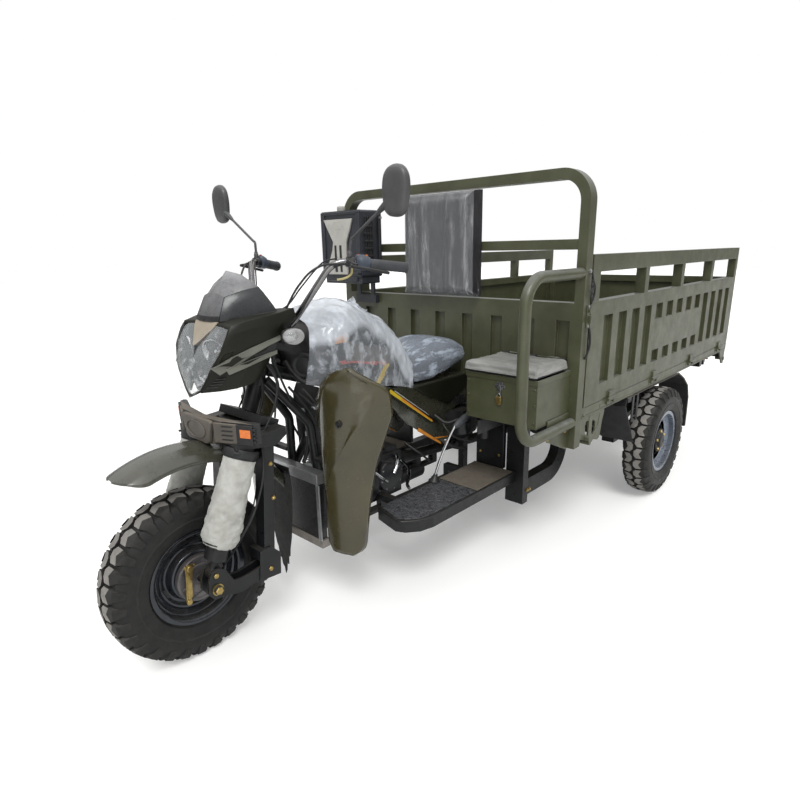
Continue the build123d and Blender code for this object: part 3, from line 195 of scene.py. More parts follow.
# finishes
# colour and tint are mixed by soft patches of patchMm; rough varies by spread; dust lies on what faces up;
# edgeMm rounds the edges in the shading and wear lightens them; grainMm is the bump's own size.
# what a finish has unless its own row says otherwise
plainFinish = {"spread": 0.08, "grainMm": 1.5, "dustAmount": 0.1}
finishSpecs = {
    # powder-coated steel of the bed: even, slightly pebbled, half matt
    "olivePowderCoat": {"colour": "#3d3f2a", "tint": "#4c4e39", "patchMm": 160, "rough": 0.42,
        "spread": 0.1, "grainMm": 2.2, "grain": 0.1, "edgeMm": 3.0, "wear": 0.35, "wearColour": "#7d7e6d",
        "dust": "#8a8d8d", "dustAmount": 0.3, "ior": 1.5, "coat": 0.12},
    # sprayed and lacquered ABS of the leg shields: deep, with a clear-coat shine
    "oliveLacqueredPlastic": {"colour": "#36321f", "tint": "#423d27", "patchMm": 240, "rough": 0.24,
        "grainMm": 1.6, "grain": 0.02, "dust": "#8d8672", "dustAmount": 0.04, "ior": 1.45, "coat": 0.5},
    # the same lacquer in near-black olive on nose and covers: duller, edges rubbed lighter
    "oliveLacquerDark": {"colour": "#13140e", "tint": "#191a12", "patchMm": 200, "rough": 0.42,
        "grainMm": 1.6, "grain": 0.03, "edgeMm": 3.5, "wear": 0.3, "wearColour": "#5a5745",
        "dust": "#4b493d", "dustAmount": 0.05, "ior": 1.32, "coat": 0.0},
    # the same lacquer on front mudguard and body cover: dark, with the strongest clear coat
    "fenderLacquer": {"colour": "#2a2b22", "tint": "#35352b", "patchMm": 180, "rough": 0.28, "spread": 0.1,
        "grainMm": 2.0, "grain": 0.03, "edgeMm": 3.0, "wear": 0.2, "wearColour": "#8a8672",
        "dust": "#77756a", "dustAmount": 0.12, "ior": 1.49, "coat": 0.7},
    # painted chassis steel: near black, satin, greyer where rubbed
    "blackChassisPaint": {"colour": "#101112", "tint": "#1a1b1d", "patchMm": 90, "rough": 0.38,
        "spread": 0.14, "grainMm": 2.5, "grain": 0.1, "edgeMm": 2.5, "wear": 0.4, "wearColour": "#55585a",
        "dust": "#5d5a52", "dustAmount": 0.18, "ior": 1.42},
    # moulded polypropylene: charcoal, fine leather grain, half matt
    "blackMouldedPlastic": {"colour": "#161618", "tint": "#1f2022", "patchMm": 70, "rough": 0.5,
        "spread": 0.1, "grainMm": 1.2, "grain": 0.16, "edgeMm": 2.0, "wear": 0.3, "wearColour": "#4b4c4e",
        "dust": "#5b574f", "dustAmount": 0.22, "ior": 1.46},
    # moulded polypropylene in warm grey: matt, holds dust
    "greyMouldedPlastic": {"colour": "#4b4742", "tint": "#575149", "patchMm": 80, "rough": 0.55,
        "grainMm": 1.4, "grain": 0.14, "edgeMm": 2.5, "wear": 0.35, "wearColour": "#8a8278",
        "dust": "#857c6f", "dustAmount": 0.4, "ior": 1.46},
    # moulded ABS of the switch pods: blue-grey, fine grain
    "blueGreySwitchPlastic": {"colour": "#3a414d", "tint": "#454c58", "patchMm": 30, "rough": 0.45,
        "grainMm": 1.0, "grain": 0.1, "edgeMm": 1.5, "wear": 0.2, "wearColour": "#6b7280",
        "dust": "#6a6a6a", "ior": 1.46},
    # smoked acrylic of the front facets: an even mid grey, little shine; the grey is partly dust on what
    # faces up, partly painted light
    "smokedScreenPlastic": {"colour": "#3a3b3c", "tint": "#434445", "patchMm": 120, "rough": 0.3,
        "spread": 0.06, "grain": 0.04, "edgeMm": 2.0, "wear": 0.3, "wearColour": "#6c6f72",
        "dust": "#909092", "dustAmount": 0.66, "ior": 1.49, "coat": 0.2},
    # the same acrylic on the steep side facets: near black and shiny, a copy painted in shade
    "darkScreenPlastic": {"colour": "#1b1d1f", "tint": "#222426", "patchMm": 120, "rough": 0.28,
        "spread": 0.06, "grain": 0.04, "edgeMm": 2.0, "wear": 0.3, "wearColour": "#5c5f62",
        "dust": "#606264", "dustAmount": 0.08, "ior": 1.45, "coat": 0.1},
    # moulded ABS of the mirrors: smooth dark grey, half matt
    "mirrorHousingPlastic": {"colour": "#3d3d3e", "tint": "#474748", "patchMm": 90, "rough": 0.42,
        "grain": 0.06, "dust": "#77787a", "dustAmount": 0.3, "ior": 1.49},
    # polished stainless tube: dark reflections, faint cloudiness
    "darkStainlessBar": {"colour": "#8b8a87", "tint": "#77757a", "patchMm": 40, "rough": 0.2, "spread": 0.1,
        "metallic": 1.0, "grainMm": 2.0, "grain": 0.02, "dust": "#6b6a68", "dustAmount": 0.15},
    # black radiator fins: near black, with lighter flecks mixed in as painted glints off the fin edges, and
    # the near black partly painted shade in the gaps; finer than this, drawn at 5 mm so that they show
    "radiatorFinsPaintedGlints": {"colour": "#060607", "tint": "#28282a", "patchMm": 7, "rough": 0.35, "spread": 0.2,
        "grainMm": 5.0, "grain": 1.0, "dust": "#4c4c4c", "ior": 1.5},
    # bare cast iron: grey, rough, hardly any shine
    "dullCastIron": {"colour": "#7d7873", "tint": "#8f8a84", "patchMm": 24, "rough": 0.6, "spread": 0.1,
        "metallic": 0.4, "grainMm": 2.0, "grain": 0.2, "dust": "#857a6e", "dustAmount": 0.3},
    # moulded grip rubber: soft dark grey, pimpled
    "handGripRubber": {"colour": "#33363a", "tint": "#3e4145", "patchMm": 40, "rough": 0.6, "spread": 0.06,
        "grainMm": 3.0, "grain": 0.5, "dust": "#5f6062", "dustAmount": 0.25, "ior": 1.52},
    # black rubber of the carcass, with the brown dust of one short drive
    "tyreRubber": {"colour": "#191919", "tint": "#232322", "patchMm": 45, "rough": 0.48, "spread": 0.12,
        "grainMm": 3.5, "grain": 0.16, "dust": "#55524e", "dustAmount": 0.06, "ior": 1.34},
    # running faces of the blocks: rubber greyed by road dust, quite matt
    "dustyTreadRubber": {"colour": "#726f6b", "tint": "#84817c", "patchMm": 26, "rough": 0.8,
        "grainMm": 2.5, "grain": 0.2, "dust": "#86837e", "dustAmount": 0.2, "ior": 1.52},
    # sides of blocks and lugs: moulded rubber that the road has not touched
    "lugSideRubber": {"colour": "#1d1d1c", "tint": "#2b2a29", "patchMm": 30, "rough": 0.55, "spread": 0.1,
        "grainMm": 2.5, "grain": 0.2, "dust": "#6a6763", "dustAmount": 0.08, "ior": 1.34},
    # pressed rubber sheet: flat black, dull
    "mudFlapRubber": {"colour": "#141414", "tint": "#1e1e1e", "patchMm": 60, "rough": 0.6, "spread": 0.1,
        "grainMm": 3.0, "grain": 0.2, "dust": "#4a4843", "dustAmount": 0.2, "ior": 1.52},
    # metallic enamel of the front rim: dark blue-grey, smooth and bright
    "darkRimEnamel": {"colour": "#2f3238", "tint": "#383c42", "patchMm": 60, "rough": 0.2, "spread": 0.06,
        "metallic": 0.6, "grainMm": 2.0, "grain": 0.02, "dust": "#6c675e", "dustAmount": 0.25, "coat": 0.3},
    # metallic enamel of the rear rims: silver-blue, rubbed at the edges
    "silverRimEnamel": {"colour": "#7e8794", "tint": "#8b93a0", "patchMm": 60, "rough": 0.3, "spread": 0.1,
        "metallic": 0.6, "grainMm": 2.0, "grain": 0.04, "edgeMm": 2.0, "wear": 0.3, "wearColour": "#b9c0ca",
        "dust": "#77716a", "dustAmount": 0.3, "coat": 0.2},
    # die-cast aluminium: pale grey metal, fine sand grain
    "castAluminium": {"colour": "#8d8c8a", "tint": "#a3a2a0", "patchMm": 25, "rough": 0.42, "spread": 0.12,
        "metallic": 0.9, "grainMm": 1.4, "grain": 0.14, "edgeMm": 1.5, "wear": 0.3, "wearColour": "#c6c6c4",
        "dust": "#6a655e", "dustAmount": 0.3},
    # cast brake plate: dull brown-grey metal
    "greyBrakeCasting": {"colour": "#5b5859", "tint": "#6d696a", "patchMm": 30, "rough": 0.5, "spread": 0.1,
        "metallic": 0.6, "grainMm": 1.6, "grain": 0.14, "edgeMm": 2.0, "wear": 0.3, "wearColour": "#96908c",
        "dust": "#5a524c", "dustAmount": 0.35},
    # painted engine casting: near black, bare metal at the edges
    "darkEngineCasting": {"colour": "#1b1c1f", "tint": "#26282b", "patchMm": 35, "rough": 0.4,
        "spread": 0.12, "metallic": 0.2, "grainMm": 1.6, "grain": 0.14, "edgeMm": 2.0, "wear": 0.5,
        "wearColour": "#5b5d60", "dust": "#4e4b45", "dustAmount": 0.3},
    # aluminium tanks and frame of the radiator: bright grey, rubbed edges
    "brushedTankAluminium": {"colour": "#a8a9ac", "tint": "#b8b9bb", "patchMm": 20, "rough": 0.36,
        "spread": 0.1, "metallic": 0.85, "grainMm": 1.2, "grain": 0.08, "edgeMm": 2.5, "wear": 0.4,
        "wearColour": "#c9c9cb", "dust": "#6f6b64", "dustAmount": 0.2},
    # chrome plate and silvered glass: clean mirror
    "mirrorChrome": {"colour": "#c9cbce", "tint": "#bfc1c4", "patchMm": 60, "rough": 0.08, "spread": 0.05,
        "metallic": 1.0, "grainMm": 2.0, "grain": 0.01, "dust": "#8d8d8c", "dustAmount": 0.08},
    # yellow-passivated zinc: gold-brown, uneven from bolt to bolt
    "goldZincPlate": {"colour": "#b09a62", "tint": "#94804f", "patchMm": 8, "rough": 0.34, "spread": 0.1,
        "metallic": 0.9, "grain": 0.06, "dust": "#6f5b35"},
    # clear-passivated zinc: bright grey metal
    "brightZincPlate": {"colour": "#a9aaac", "tint": "#8c8d8f", "patchMm": 8, "rough": 0.3, "spread": 0.1,
        "metallic": 0.95, "grain": 0.05, "dust": "#77756f"},
    # moulded orange acrylic with prisms behind: saturated, sparkling
    "orangeReflector": {"colour": "#c8641c", "tint": "#d87424", "patchMm": 10, "rough": 0.25,
        "spread": 0.05, "grainMm": 2.4, "grain": 0.3, "dust": "#b07a45", "ior": 1.49, "coat": 0.4},
    # moulded ABS in beige: smooth, half matt
    "beigePanelPlastic": {"colour": "#8d8272", "tint": "#978c7b", "patchMm": 40, "rough": 0.4,
        "grain": 0.05, "dust": "#a99f8d", "dustAmount": 0.2, "ior": 1.46},
    # silver paint on plastic: fine metallic sheen, worn at the edges
    "silverTrimPaint": {"colour": "#63645c", "tint": "#72736a", "patchMm": 60, "rough": 0.38,
        "metallic": 0.5, "grain": 0.04, "edgeMm": 1.5, "wear": 0.2, "wearColour": "#b0b0a6",
        "dust": "#8a887d", "dustAmount": 0.15},
    # cast vinyl in yellow: flat colour, soft shine
    "yellowDecalVinyl": {"colour": "#c9ac22", "tint": "#bfa224", "patchMm": 30, "rough": 0.35,
        "spread": 0.05, "grainMm": 2.0, "grain": 0.02, "dust": "#a59a55", "ior": 1.46},
    # cast vinyl in orange: flat colour, soft shine
    "orangeDecalVinyl": {"colour": "#bd7420", "tint": "#c9832b", "patchMm": 30, "rough": 0.38,
        "spread": 0.05, "grainMm": 2.0, "grain": 0.02, "dust": "#8e6c3d", "dustAmount": 0.15, "ior": 1.46},
    # cast vinyl in red: flat colour, soft shine
    "redDecalVinyl": {"colour": "#a84033", "tint": "#b54b3d", "patchMm": 30, "rough": 0.4, "spread": 0.05,
        "grainMm": 2.0, "grain": 0.02, "dust": "#8e6c5d", "ior": 1.46},
    # cast vinyl in white: flat colour, soft shine
    "whiteDecalVinyl": {"colour": "#b5b8ba", "tint": "#c2c5c7", "patchMm": 30, "rough": 0.35,
        "spread": 0.05, "grainMm": 2.0, "grain": 0.02, "dust": "#8e8c88", "ior": 1.46},
    # calendered seat vinyl: black with a small leather grain
    "blackSeatVinyl": {"colour": "#1b1b1e", "tint": "#242428", "patchMm": 40, "rough": 0.42, "spread": 0.1,
        "grainMm": 1.8, "grain": 0.3, "dust": "#55555a", "dustAmount": 0.12, "ior": 1.5},
    # pressed fibre board: brown, matt, dusty
    "woodPulpMat": {"colour": "#4c463d", "tint": "#5d564c", "patchMm": 60, "rough": 0.8, "spread": 0.1,
        "grainMm": 3.0, "grain": 0.4, "dust": "#716a5f", "dustAmount": 0.5, "ior": 1.5},
    # ribbed rubber mat: black, with grey patches mixed in as painted glints; ribs drawn as 8 mm grain so that
    # they show
    "blackRibbedMat": {"colour": "#08090a", "tint": "#56585c", "patchMm": 17, "rough": 0.36, "spread": 0.3,
        "grainMm": 8.0, "grain": 1.0, "dust": "#6b6b6c", "dustAmount": 0.16, "ior": 1.5},
    # moulded ABS in charcoal: smooth, edges rubbed lighter
    "darkPanelPlastic": {"colour": "#232527", "tint": "#2c2e31", "patchMm": 60, "rough": 0.34,
        "grain": 0.05, "edgeMm": 3.0, "wear": 0.3, "wearColour": "#5c6064", "dust": "#5e5f60",
        "dustAmount": 0.2, "ior": 1.49},
    # moulded ABS in blue: smooth, half shiny
    "bluePanelPlastic": {"colour": "#4a5f7d", "tint": "#566b88", "patchMm": 40, "rough": 0.3,
        "spread": 0.05, "grain": 0.03, "dust": "#8a929c", "dustAmount": 0.15, "ior": 1.49},
    # plastic cable sleeve, yellowed: matt, faintly cloudy
    "agedSleevePlastic": {"colour": "#a89c68", "tint": "#b5aa78", "patchMm": 20, "rough": 0.5,
        "spread": 0.05, "grain": 0.03, "dust": "#8e866a", "dustAmount": 0.15, "ior": 1.46},
    # moulded red acrylic: deep, shiny, prisms inside
    "redLampPlastic": {"colour": "#7d1512", "tint": "#8d1c17", "patchMm": 30, "rough": 0.2, "spread": 0.04,
        "grainMm": 3.0, "grain": 0.3, "dust": "#6d4a45", "ior": 1.49, "coat": 0.5},
    # moulded polypropylene of the air filter: blue-black, fine grain
    "filterCasePlastic": {"colour": "#26282c", "tint": "#30333a", "patchMm": 60, "rough": 0.45,
        "spread": 0.1, "grain": 0.12, "edgeMm": 3.0, "wear": 0.3, "wearColour": "#5e6269",
        "dust": "#77787a", "dustAmount": 0.2, "ior": 1.46},
    # pale moulded plastic of the filter plate: matt warm white
    "paleFilterPlate": {"colour": "#a8a6a0", "tint": "#b4b2ac", "patchMm": 50, "rough": 0.55, "grain": 0.08,
        "dust": "#a7a194", "dustAmount": 0.2, "ior": 1.46},
}
finish = {}


def makeFinish(name, spec):
    made, tree = newMaterial(name)
    coord = addNode(tree, "TexCoord").outputs["Object"]
    patches = addNode(tree, "TexNoise", {"Scale": 1000 / spec["patchMm"], "Detail": 5.0, "Roughness": 0.6},
        {"Vector": coord})
    spread = addNode(tree, "MapRange", {1: 0.35, 2: 0.65}, {0: patches})
    paint = addNode(tree, "Mix", {"data_type": "RGBA", 6: toLinear(spec["colour"]),
        7: toLinear(spec["tint"])}, {0: spread})
    colour = paint.outputs[2]
    geometry = addNode(tree, "NewGeometry")
    grain = addNode(tree, "TexNoise", {"Scale": 1000 / spec["grainMm"], "Detail": 2.0}, {"Vector": coord})
    bump = addNode(tree, "Bump", {"Strength": spec["grain"], "Distance": spec["grainMm"] / 4000},
        {"Height": grain})
    if spec.get("edgeMm"):
        soft = addNode(tree, "Bevel", {"samples": 4, "Radius": spec["edgeMm"] / 1000})
        tree.links.new(soft.outputs[0], bump.inputs["Normal"])
        bend = addNode(tree, "VectorMath", {"operation": "DOT_PRODUCT"},
            {0: soft, 1: geometry.outputs["Normal"]})
        rub = addNode(tree, "MapRange", {1: 0.985, 2: 0.86, 3: 0.0, 4: spec["wear"]},
            {0: bend.outputs["Value"]})
        worn = addNode(tree, "Mix", {"data_type": "RGBA", 7: toLinear(spec["wearColour"])},
            {0: rub, 6: colour})
        colour = worn.outputs[2]
    facing = addNode(tree, "SeparateXYZ", None, {0: geometry.outputs["Normal"]})
    up = addNode(tree, "MapRange", {1: 0.2, 2: 0.95}, {0: facing.outputs[2]})
    cloud = addNode(tree, "TexNoise", {"Scale": 2500 / spec["patchMm"], "Detail": 6.0, "Roughness": 0.7},
        {"Vector": coord})
    lie = addNode(tree, "MapRange", {1: 0.3, 2: 0.7, 3: spec["dustAmount"] * 0.4, 4: spec["dustAmount"] * 2},
        {0: cloud})
    heap = addNode(tree, "Math", {"operation": "MULTIPLY", "use_clamp": True}, {0: up, 1: lie})
    dusty = addNode(tree, "Mix", {"data_type": "RGBA", 7: toLinear(spec["dust"])}, {0: heap, 6: colour})
    rough = addNode(tree, "MapRange", {1: 0.3, 2: 0.7, 3: spec["rough"] - spec["spread"],
        4: spec["rough"] + spec["spread"]}, {0: cloud})
    shader = addNode(tree, "BsdfPrincipled", {"Metallic": spec.get("metallic", 0.0),
        "Coat Weight": spec.get("coat", 0.0), "Coat Roughness": 0.12}, {"Base Color": dusty.outputs[2],
        "Roughness": rough, "Normal": bump})
    if "ior" in spec:
        shader.inputs["IOR"].default_value = spec["ior"]
    addNode(tree, "OutputMaterial", None, {"Surface": shader})
    return made


for finishName, finishSpec in finishSpecs.items():
    finish[finishName] = makeFinish(finishName, {**plainFinish, **finishSpec})
print("plain finishes:", len(finish))


# shapes: each is (points, faces), in metres
def joined(shapes):
    points, faces = [], []
    for shapePoints, shapeFaces in shapes:
        start = len(points)
        points += list(shapePoints)
        faces += [tuple(i + start for i in face) for face in shapeFaces]
    return points, faces


def flipped(shape):
    # the same skin with its faces turned over
    return shape[0], [tuple(reversed(face)) for face in shape[1]]


def mirroredShape(shape):
    return flipped(([Vector((-p[0], p[1], p[2])) for p in shape[0]], shape[1]))


def slabShape(front, back):
    # two loops of as many points, closed into a slab
    count = len(front)
    faces = [tuple(range(count)), tuple(range(2 * count - 1, count - 1, -1))]
    faces += [(i, i + count, (i + 1) % count + count, (i + 1) % count) for i in range(count)]
    return front + back, faces


def turns(count, more=0):
    # angles round a full circle; one more closes it
    return [2 * math.pi * k / count for k in range(count + more)]


def gridShape(rows, closed=False):
    # rows of points become a skin of quads
    wide = len(rows[0])
    points = [p for row in rows for p in row]
    faces = []
    for r in range(len(rows) - 1):
        for c in range(wide if closed else wide - 1):
            d = (c + 1) % wide
            faces.append((r * wide + c, r * wide + d, (r + 1) * wide + d, (r + 1) * wide + c))
    return points, faces


def turnedShape(profile, centre, axis=(1, 0, 0), segments=48):
    # (along, radius) pairs turned about an axis through centre
    axis = Vector(axis).normalized()
    side = axis.orthogonal().normalized()
    other = axis.cross(side)
    rows = []
    for along, radius in profile:
        row = []
        for i in range(segments):
            angle = 2 * math.pi * i / segments
            row.append(Vector(centre) + axis * along / 1000
                + (side * math.cos(angle) + other * math.sin(angle)) * max(radius, 0.05) / 1000)
        rows.append(row)
    points, faces = gridShape(rows, closed=True)
    if profile[0] != profile[-1]:
        last = len(points) - segments
        faces.append(tuple(range(segments - 1, -1, -1)))
        faces.append(tuple(range(last, last + segments)))
    return points, [tuple(reversed(face)) for face in faces]


def plateShape(outline, low, high, plane="x"):
    # a flat outline thickened; plane x takes (y, z), y takes (x, z), z takes (x, y), all in millimetres
    def spot(p, depth):
        return {"x": place(depth, *p), "y": place(p[0], depth, p[1]), "z": place(p[0], p[1], depth)}[plane]
    count = len(outline)
    area = sum(outline[i][0] * outline[(i + 1) % count][1] - outline[(i + 1) % count][0] * outline[i][1]
        for i in range(count))
    if (area < 0) != (plane == "y"):
        outline = list(reversed(outline))
    points = [spot(p, low) for p in outline] + [spot(p, high) for p in outline]
    faces = [tuple(range(count - 1, -1, -1)), tuple(range(count, 2 * count))]
    for i in range(count):
        j = (i + 1) % count
        faces.append((i, j, j + count, i + count))
    return points, faces


def boxShape(x0, x1, y0, y1, z0, z1):
    return plateShape([(y0, z0), (y1, z0), (y1, z1), (y0, z1)], x0, x1)


def sideBox(side, x0, x1, y0, y1, z0, z1):
    # the same box on the vehicle's left (side 1) or right (side -1)
    return boxShape(*sorted((side * x0, side * x1)), y0, y1, z0, z1)


def between(table, value):
    # a straight-line reading from pairs in rising order
    if value <= table[0][0]:
        return table[0][1]
    for (a, x), (b, y) in zip(table, table[1:]):
        if value <= b:
            return x + (y - x) * (value - a) / (b - a)
    return table[-1][1]


def smoothPath(points, steps=8):
    # a Catmull-Rom curve through the points
    ends = [points[0] * 2 - points[1]] + list(points) + [points[-1] * 2 - points[-2]]
    path = []
    for i in range(1, len(ends) - 2):
        a, b, c, d = ends[i - 1:i + 3]
        for s in range(steps):
            t = s / steps
            path.append(0.5 * (2 * b + (c - a) * t + (2 * a - 5 * b + 4 * c - d) * t * t
                + (3 * b - a - 3 * c + d) * t ** 3))
    return path + [points[-1]]


def tubeShape(path, radius, sides=12):
    # a round bar along points in metres; radius in millimetres, one number or one for each point
    rows = []
    side = (path[1] - path[0]).orthogonal().normalized()
    for i, p in enumerate(path):
        ahead = (path[min(i + 1, len(path) - 1)] - path[max(i - 1, 0)]).normalized()
        side = (side - ahead * side.dot(ahead)).normalized()
        other = ahead.cross(side)
        r = (radius[i] if hasattr(radius, "__len__") else radius) / 1000
        rows.append([p + (side * math.cos(2 * math.pi * k / sides) + other
            * math.sin(2 * math.pi * k / sides)) * r for k in range(sides)])
    points, faces = gridShape(rows, closed=True)
    last = len(points) - sides
    return points, [tuple(range(sides - 1, -1, -1))] + faces + [tuple(range(last, last + sides))]


def boltShape(centre, axis, size, height, washer=True):
    # a hexagon head with a chamfered top on its washer, sizes in millimetres
    reach = size / math.sqrt(3)
    shapes = [turnedShape([(0, reach), (height * 0.8, reach), (height, reach * 0.82)], centre, axis, 6)]
    if washer:
        shapes.append(turnedShape([(-0.4, reach * 1.25), (height * 0.25, reach * 1.25)], centre, axis, 20))
    return joined(shapes)


def addPiece(name, shape, finishes, body, sharp=35, bevel=0.0, slots=None, levels=0):
    # shape is one (points, faces) pair, or a list of them to be joined
    points, faces = joined(shape) if isinstance(shape, list) else shape
    mesh = bpy.data.meshes.new(name)
    mesh.from_pydata([tuple(p) for p in points], [], [tuple(face) for face in faces])
    mesh.validate()
    finishes = [finishes] if isinstance(finishes, str) else finishes
    for f in finishes:
        mesh.materials.append(finish[f])
    if slots:
        for polygon in mesh.polygons:
            polygon.material_index = slots(polygon)
    mesh.shade_smooth()
    mesh.set_sharp_from_angle(angle=math.radians(sharp))
    piece = linked(name, mesh)
    if bevel:
        rounded = piece.modifiers.new("softEdges", "BEVEL")
        rounded.width = bevel / 1000
        rounded.segments = 2
        rounded.limit_method = "ANGLE"
        rounded.angle_limit = math.radians(32)
        rounded.harden_normals = False
    if levels:
        smoother = piece.modifiers.new("rounder", "SUBSURF")
        smoother.levels = smoother.render_levels = levels
    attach(piece, body)
    return piece


def dress(node, *zones):
    # gives a CAD node one finish, or several by a test on each face's middle, in millimetres
    mesh = nodes[node].data
    mesh.materials.clear()
    for name, test in zones:
        mesh.materials.append(finish[name])
    for polygon in mesh.polygons:
        x, y, z = polygon.center.x * 1000, (polygon.center.y - axleY) * 1000, polygon.center.z * 1000
        polygon.material_index = next((i for i, (name, test) in enumerate(zones) if test(x, y, z)), 0)


def everywhere(x, y, z):
    return True


# tyres
tyreLook = {"blocks": 30, "groove": 9.5, "depth": 10.5, "crown": 288.0, "lugLow": 247.0, "lugHeight": 5.0,
            "draft": 1.4}


def crownRadius(across):
    spots = [(0, 288.0), (22, 287.6), (42, 283.6), (52, 280.0), (60, 269.5), (64, 254.0), (67.2, 236.0)]
    a = min(abs(across), 67.1)
    for (x0, r0), (x1, r1) in zip(spots, spots[1:]):
        if a <= x1:
            return r0 + (r1 - r0) * (a - x0) / (x1 - x0)
    return spots[-1][1]


def onTyre(centre, angle, across, radius):
    return Vector((centre.x + across / 1000, centre.y + radius / 1000 * math.cos(angle),
        centre.z + radius / 1000 * math.sin(angle)))


def makeTyre(name, node, body, centre):
    t = tyreLook
    deep = t["depth"]
    half = [(47.6, 152.6), (47.8, 164.4), (53, 167), (58.5, 171), (59.5, 174), (60, 176), (63, 186),
        (65.6, 198), (66.4, 204), (67.6, 206), (67.4, 209.5), (66, 212), (66.3, 222), (65.6, 236),
        (62.5, 247), (59, 257), (52, 268.5), (40, 274.5), (20, 277.2), (0, 277.5)]
    profile = half + [(-x, r) for x, r in reversed(half[:-1])]
    shapes = [turnedShape(profile + [profile[0]], centre, (1, 0, 0), 96)]
    carcassFaces = len(shapes[0][1])
    pitch = 2 * math.pi / t["blocks"]
    span = pitch * t["crown"] - t["groove"]
    a = span / 2
    for side in (1, -1):
        for k in range(t["blocks"]):
            middle = (k + (0.5 if side < 0 else 0.0)) * pitch
            top = [(-a * 0.42, 3.4), (a * 0.42, 3.4), (a, 17), (a * 0.98, 43), (a * 0.62, 57.5),
                (-a * 0.62, 57.5), (-a * 0.98, 43), (-a, 17)]
            if side < 0:
                top = list(reversed(top))
            rings = []
            for sink, grow in ((0, 0), (deep + 2, t["draft"])):
                ring = []
                for u, v in top:
                    scale = 1 + grow / a
                    across = side * min(30 + (v - 30) * scale, 60)
                    radius = crownRadius(across) - sink
                    ring.append(onTyre(centre, middle + u * scale / t["crown"], across, radius))
                rings.append(ring)
            core = onTyre(centre, middle, side * 29, crownRadius(29) + 0.2)
            count = len(top)
            points = rings[0] + rings[1] + [core]
            faces = [(i, (i + 1) % count, 2 * count) for i in range(count)]
            faces += [(i + count, (i + 1) % count + count, (i + 1) % count, i) for i in range(count)]
            shapes.append((points, faces))
            # the lug that runs down the shoulder from each block
            wide = a * 0.66
            rows = []
            for across, radius, share in ((54, 279.0, 1.0), (60.5, 268.5, 1.0), (64.2, 255.0, 0.94),
                    (66.8, t["lugLow"] - 3, 0.8), (65.2, t["lugLow"] - 9, 0.72)):
                row = []
                for u, inner in ((-1, 1), (-0.86, 0), (0.86, 0), (1, 1)):
                    x = across - (t["lugHeight"] + 1.5) * inner * 0.8
                    r = radius - (t["lugHeight"] + 1.5) * inner * 0.6
                    row.append(onTyre(centre, middle + side * u * wide * share / t["crown"], side * x, r))
                rows.append(row)
            shapes.append(gridShape(rows))
    shape = joined(shapes)

    def zone(polygon):
        p = polygon.center - centre
        if polygon.index < carcassFaces:
            return 2 if 203.5 < math.hypot(p.y, p.z) * 1000 < 210.5 and abs(p.x) > 0.066 else 0
        radius = math.hypot(p.y, p.z) * 1000
        limit = crownRadius(p.x * 1000)
        up = Vector((0, p.y, p.z)).normalized().dot(polygon.normal)
        return 1 if radius > limit - 2.2 and up > 0.8 and abs(p.x) < 0.047 else 2

    tyre = addPiece(name, shape, ["tyreRubber", "dustyTreadRubber", "lugSideRubber"], body, sharp=28,
        slots=zone)
    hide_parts(node)
    return tyre


wheelPlaces = {"front": ("front_tyre", "front_wheel"), "left": ("rear_tyre_left", "rear_wheel_left"),
               "right": ("rear_tyre_right", "rear_wheel_right")}
for wheelName, (tyreNode, wheelBody) in wheelPlaces.items():
    low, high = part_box(tyreNode)
    makeTyre(wheelName + "TreadTyre", tyreNode, wheelBody, (low + high) / 2)
print("tyres:", tyreLook["blocks"] * 2, "blocks each")


# front wheel: stepped rim, slots in the disc, brake plate and its arm
frontWheel = {"slots": 6}


def makeFrontRim():
    centre = place(0, 0, axleZ)
    profile = [(52, 161), (52, 164), (48.5, 164), (47.5, 151.5), (30, 151.5), (-47.5, 151.5), (-48.5, 164),
        (-52, 164), (-52, 160), (-50, 149), (-44, 147), (-30, 141), (-12, 138), (-14, 100), (-20, 84),
        (-44, 84), (-44, 26), (34, 26), (34, 76), (34, 84), (31, 87), (12, 88), (4, 92), (1, 96), (2, 104),
        (6, 108), (14, 112), (15, 118), (8, 124), (7, 128), (15, 132), (24, 136), (26, 141), (40, 143),
        (46, 147), (50, 153), (52, 161)]
    rim = turnedShape(profile, centre, (1, 0, 0), 72)
    piece = addPiece("frontSteppedRim", rim, "darkRimEnamel", "front_wheel", sharp=50)
    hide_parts("front_rim")
    # the slots are drawn as thin black pads on the disc: painted shade in the openings
    pads = []
    for i in range(frontWheel["slots"]):
        angle = 2 * math.pi * (i + 0.35) / frontWheel["slots"]
        rows = []
        for across, r0, r1 in ((7.2, 99.5, 109), (7.6, 99.8, 108.6)):
            row = [onTyre(centre, angle - 0.16 + 0.32 * s / 6, across, r0) for s in range(7)]
            row += [onTyre(centre, angle + 0.16 - 0.32 * s / 6, across, r1) for s in range(7)]
            rows.append(row)
        points, faces = gridShape(rows, closed=True)
        pads.append((points, faces + [tuple(range(14, 28))]))
    addPiece("frontRimSlots", pads, "blackMouldedPlastic", "front_wheel")
    valve = tubeShape([onTyre(centre, 0.9, 40, 132), onTyre(centre, 0.9, 47, 128),
        onTyre(centre, 0.9, 58, 120)], 3.2)
    addPiece("frontTyreValve", valve, "brightZincPlate", "front_wheel")


makeFrontRim()


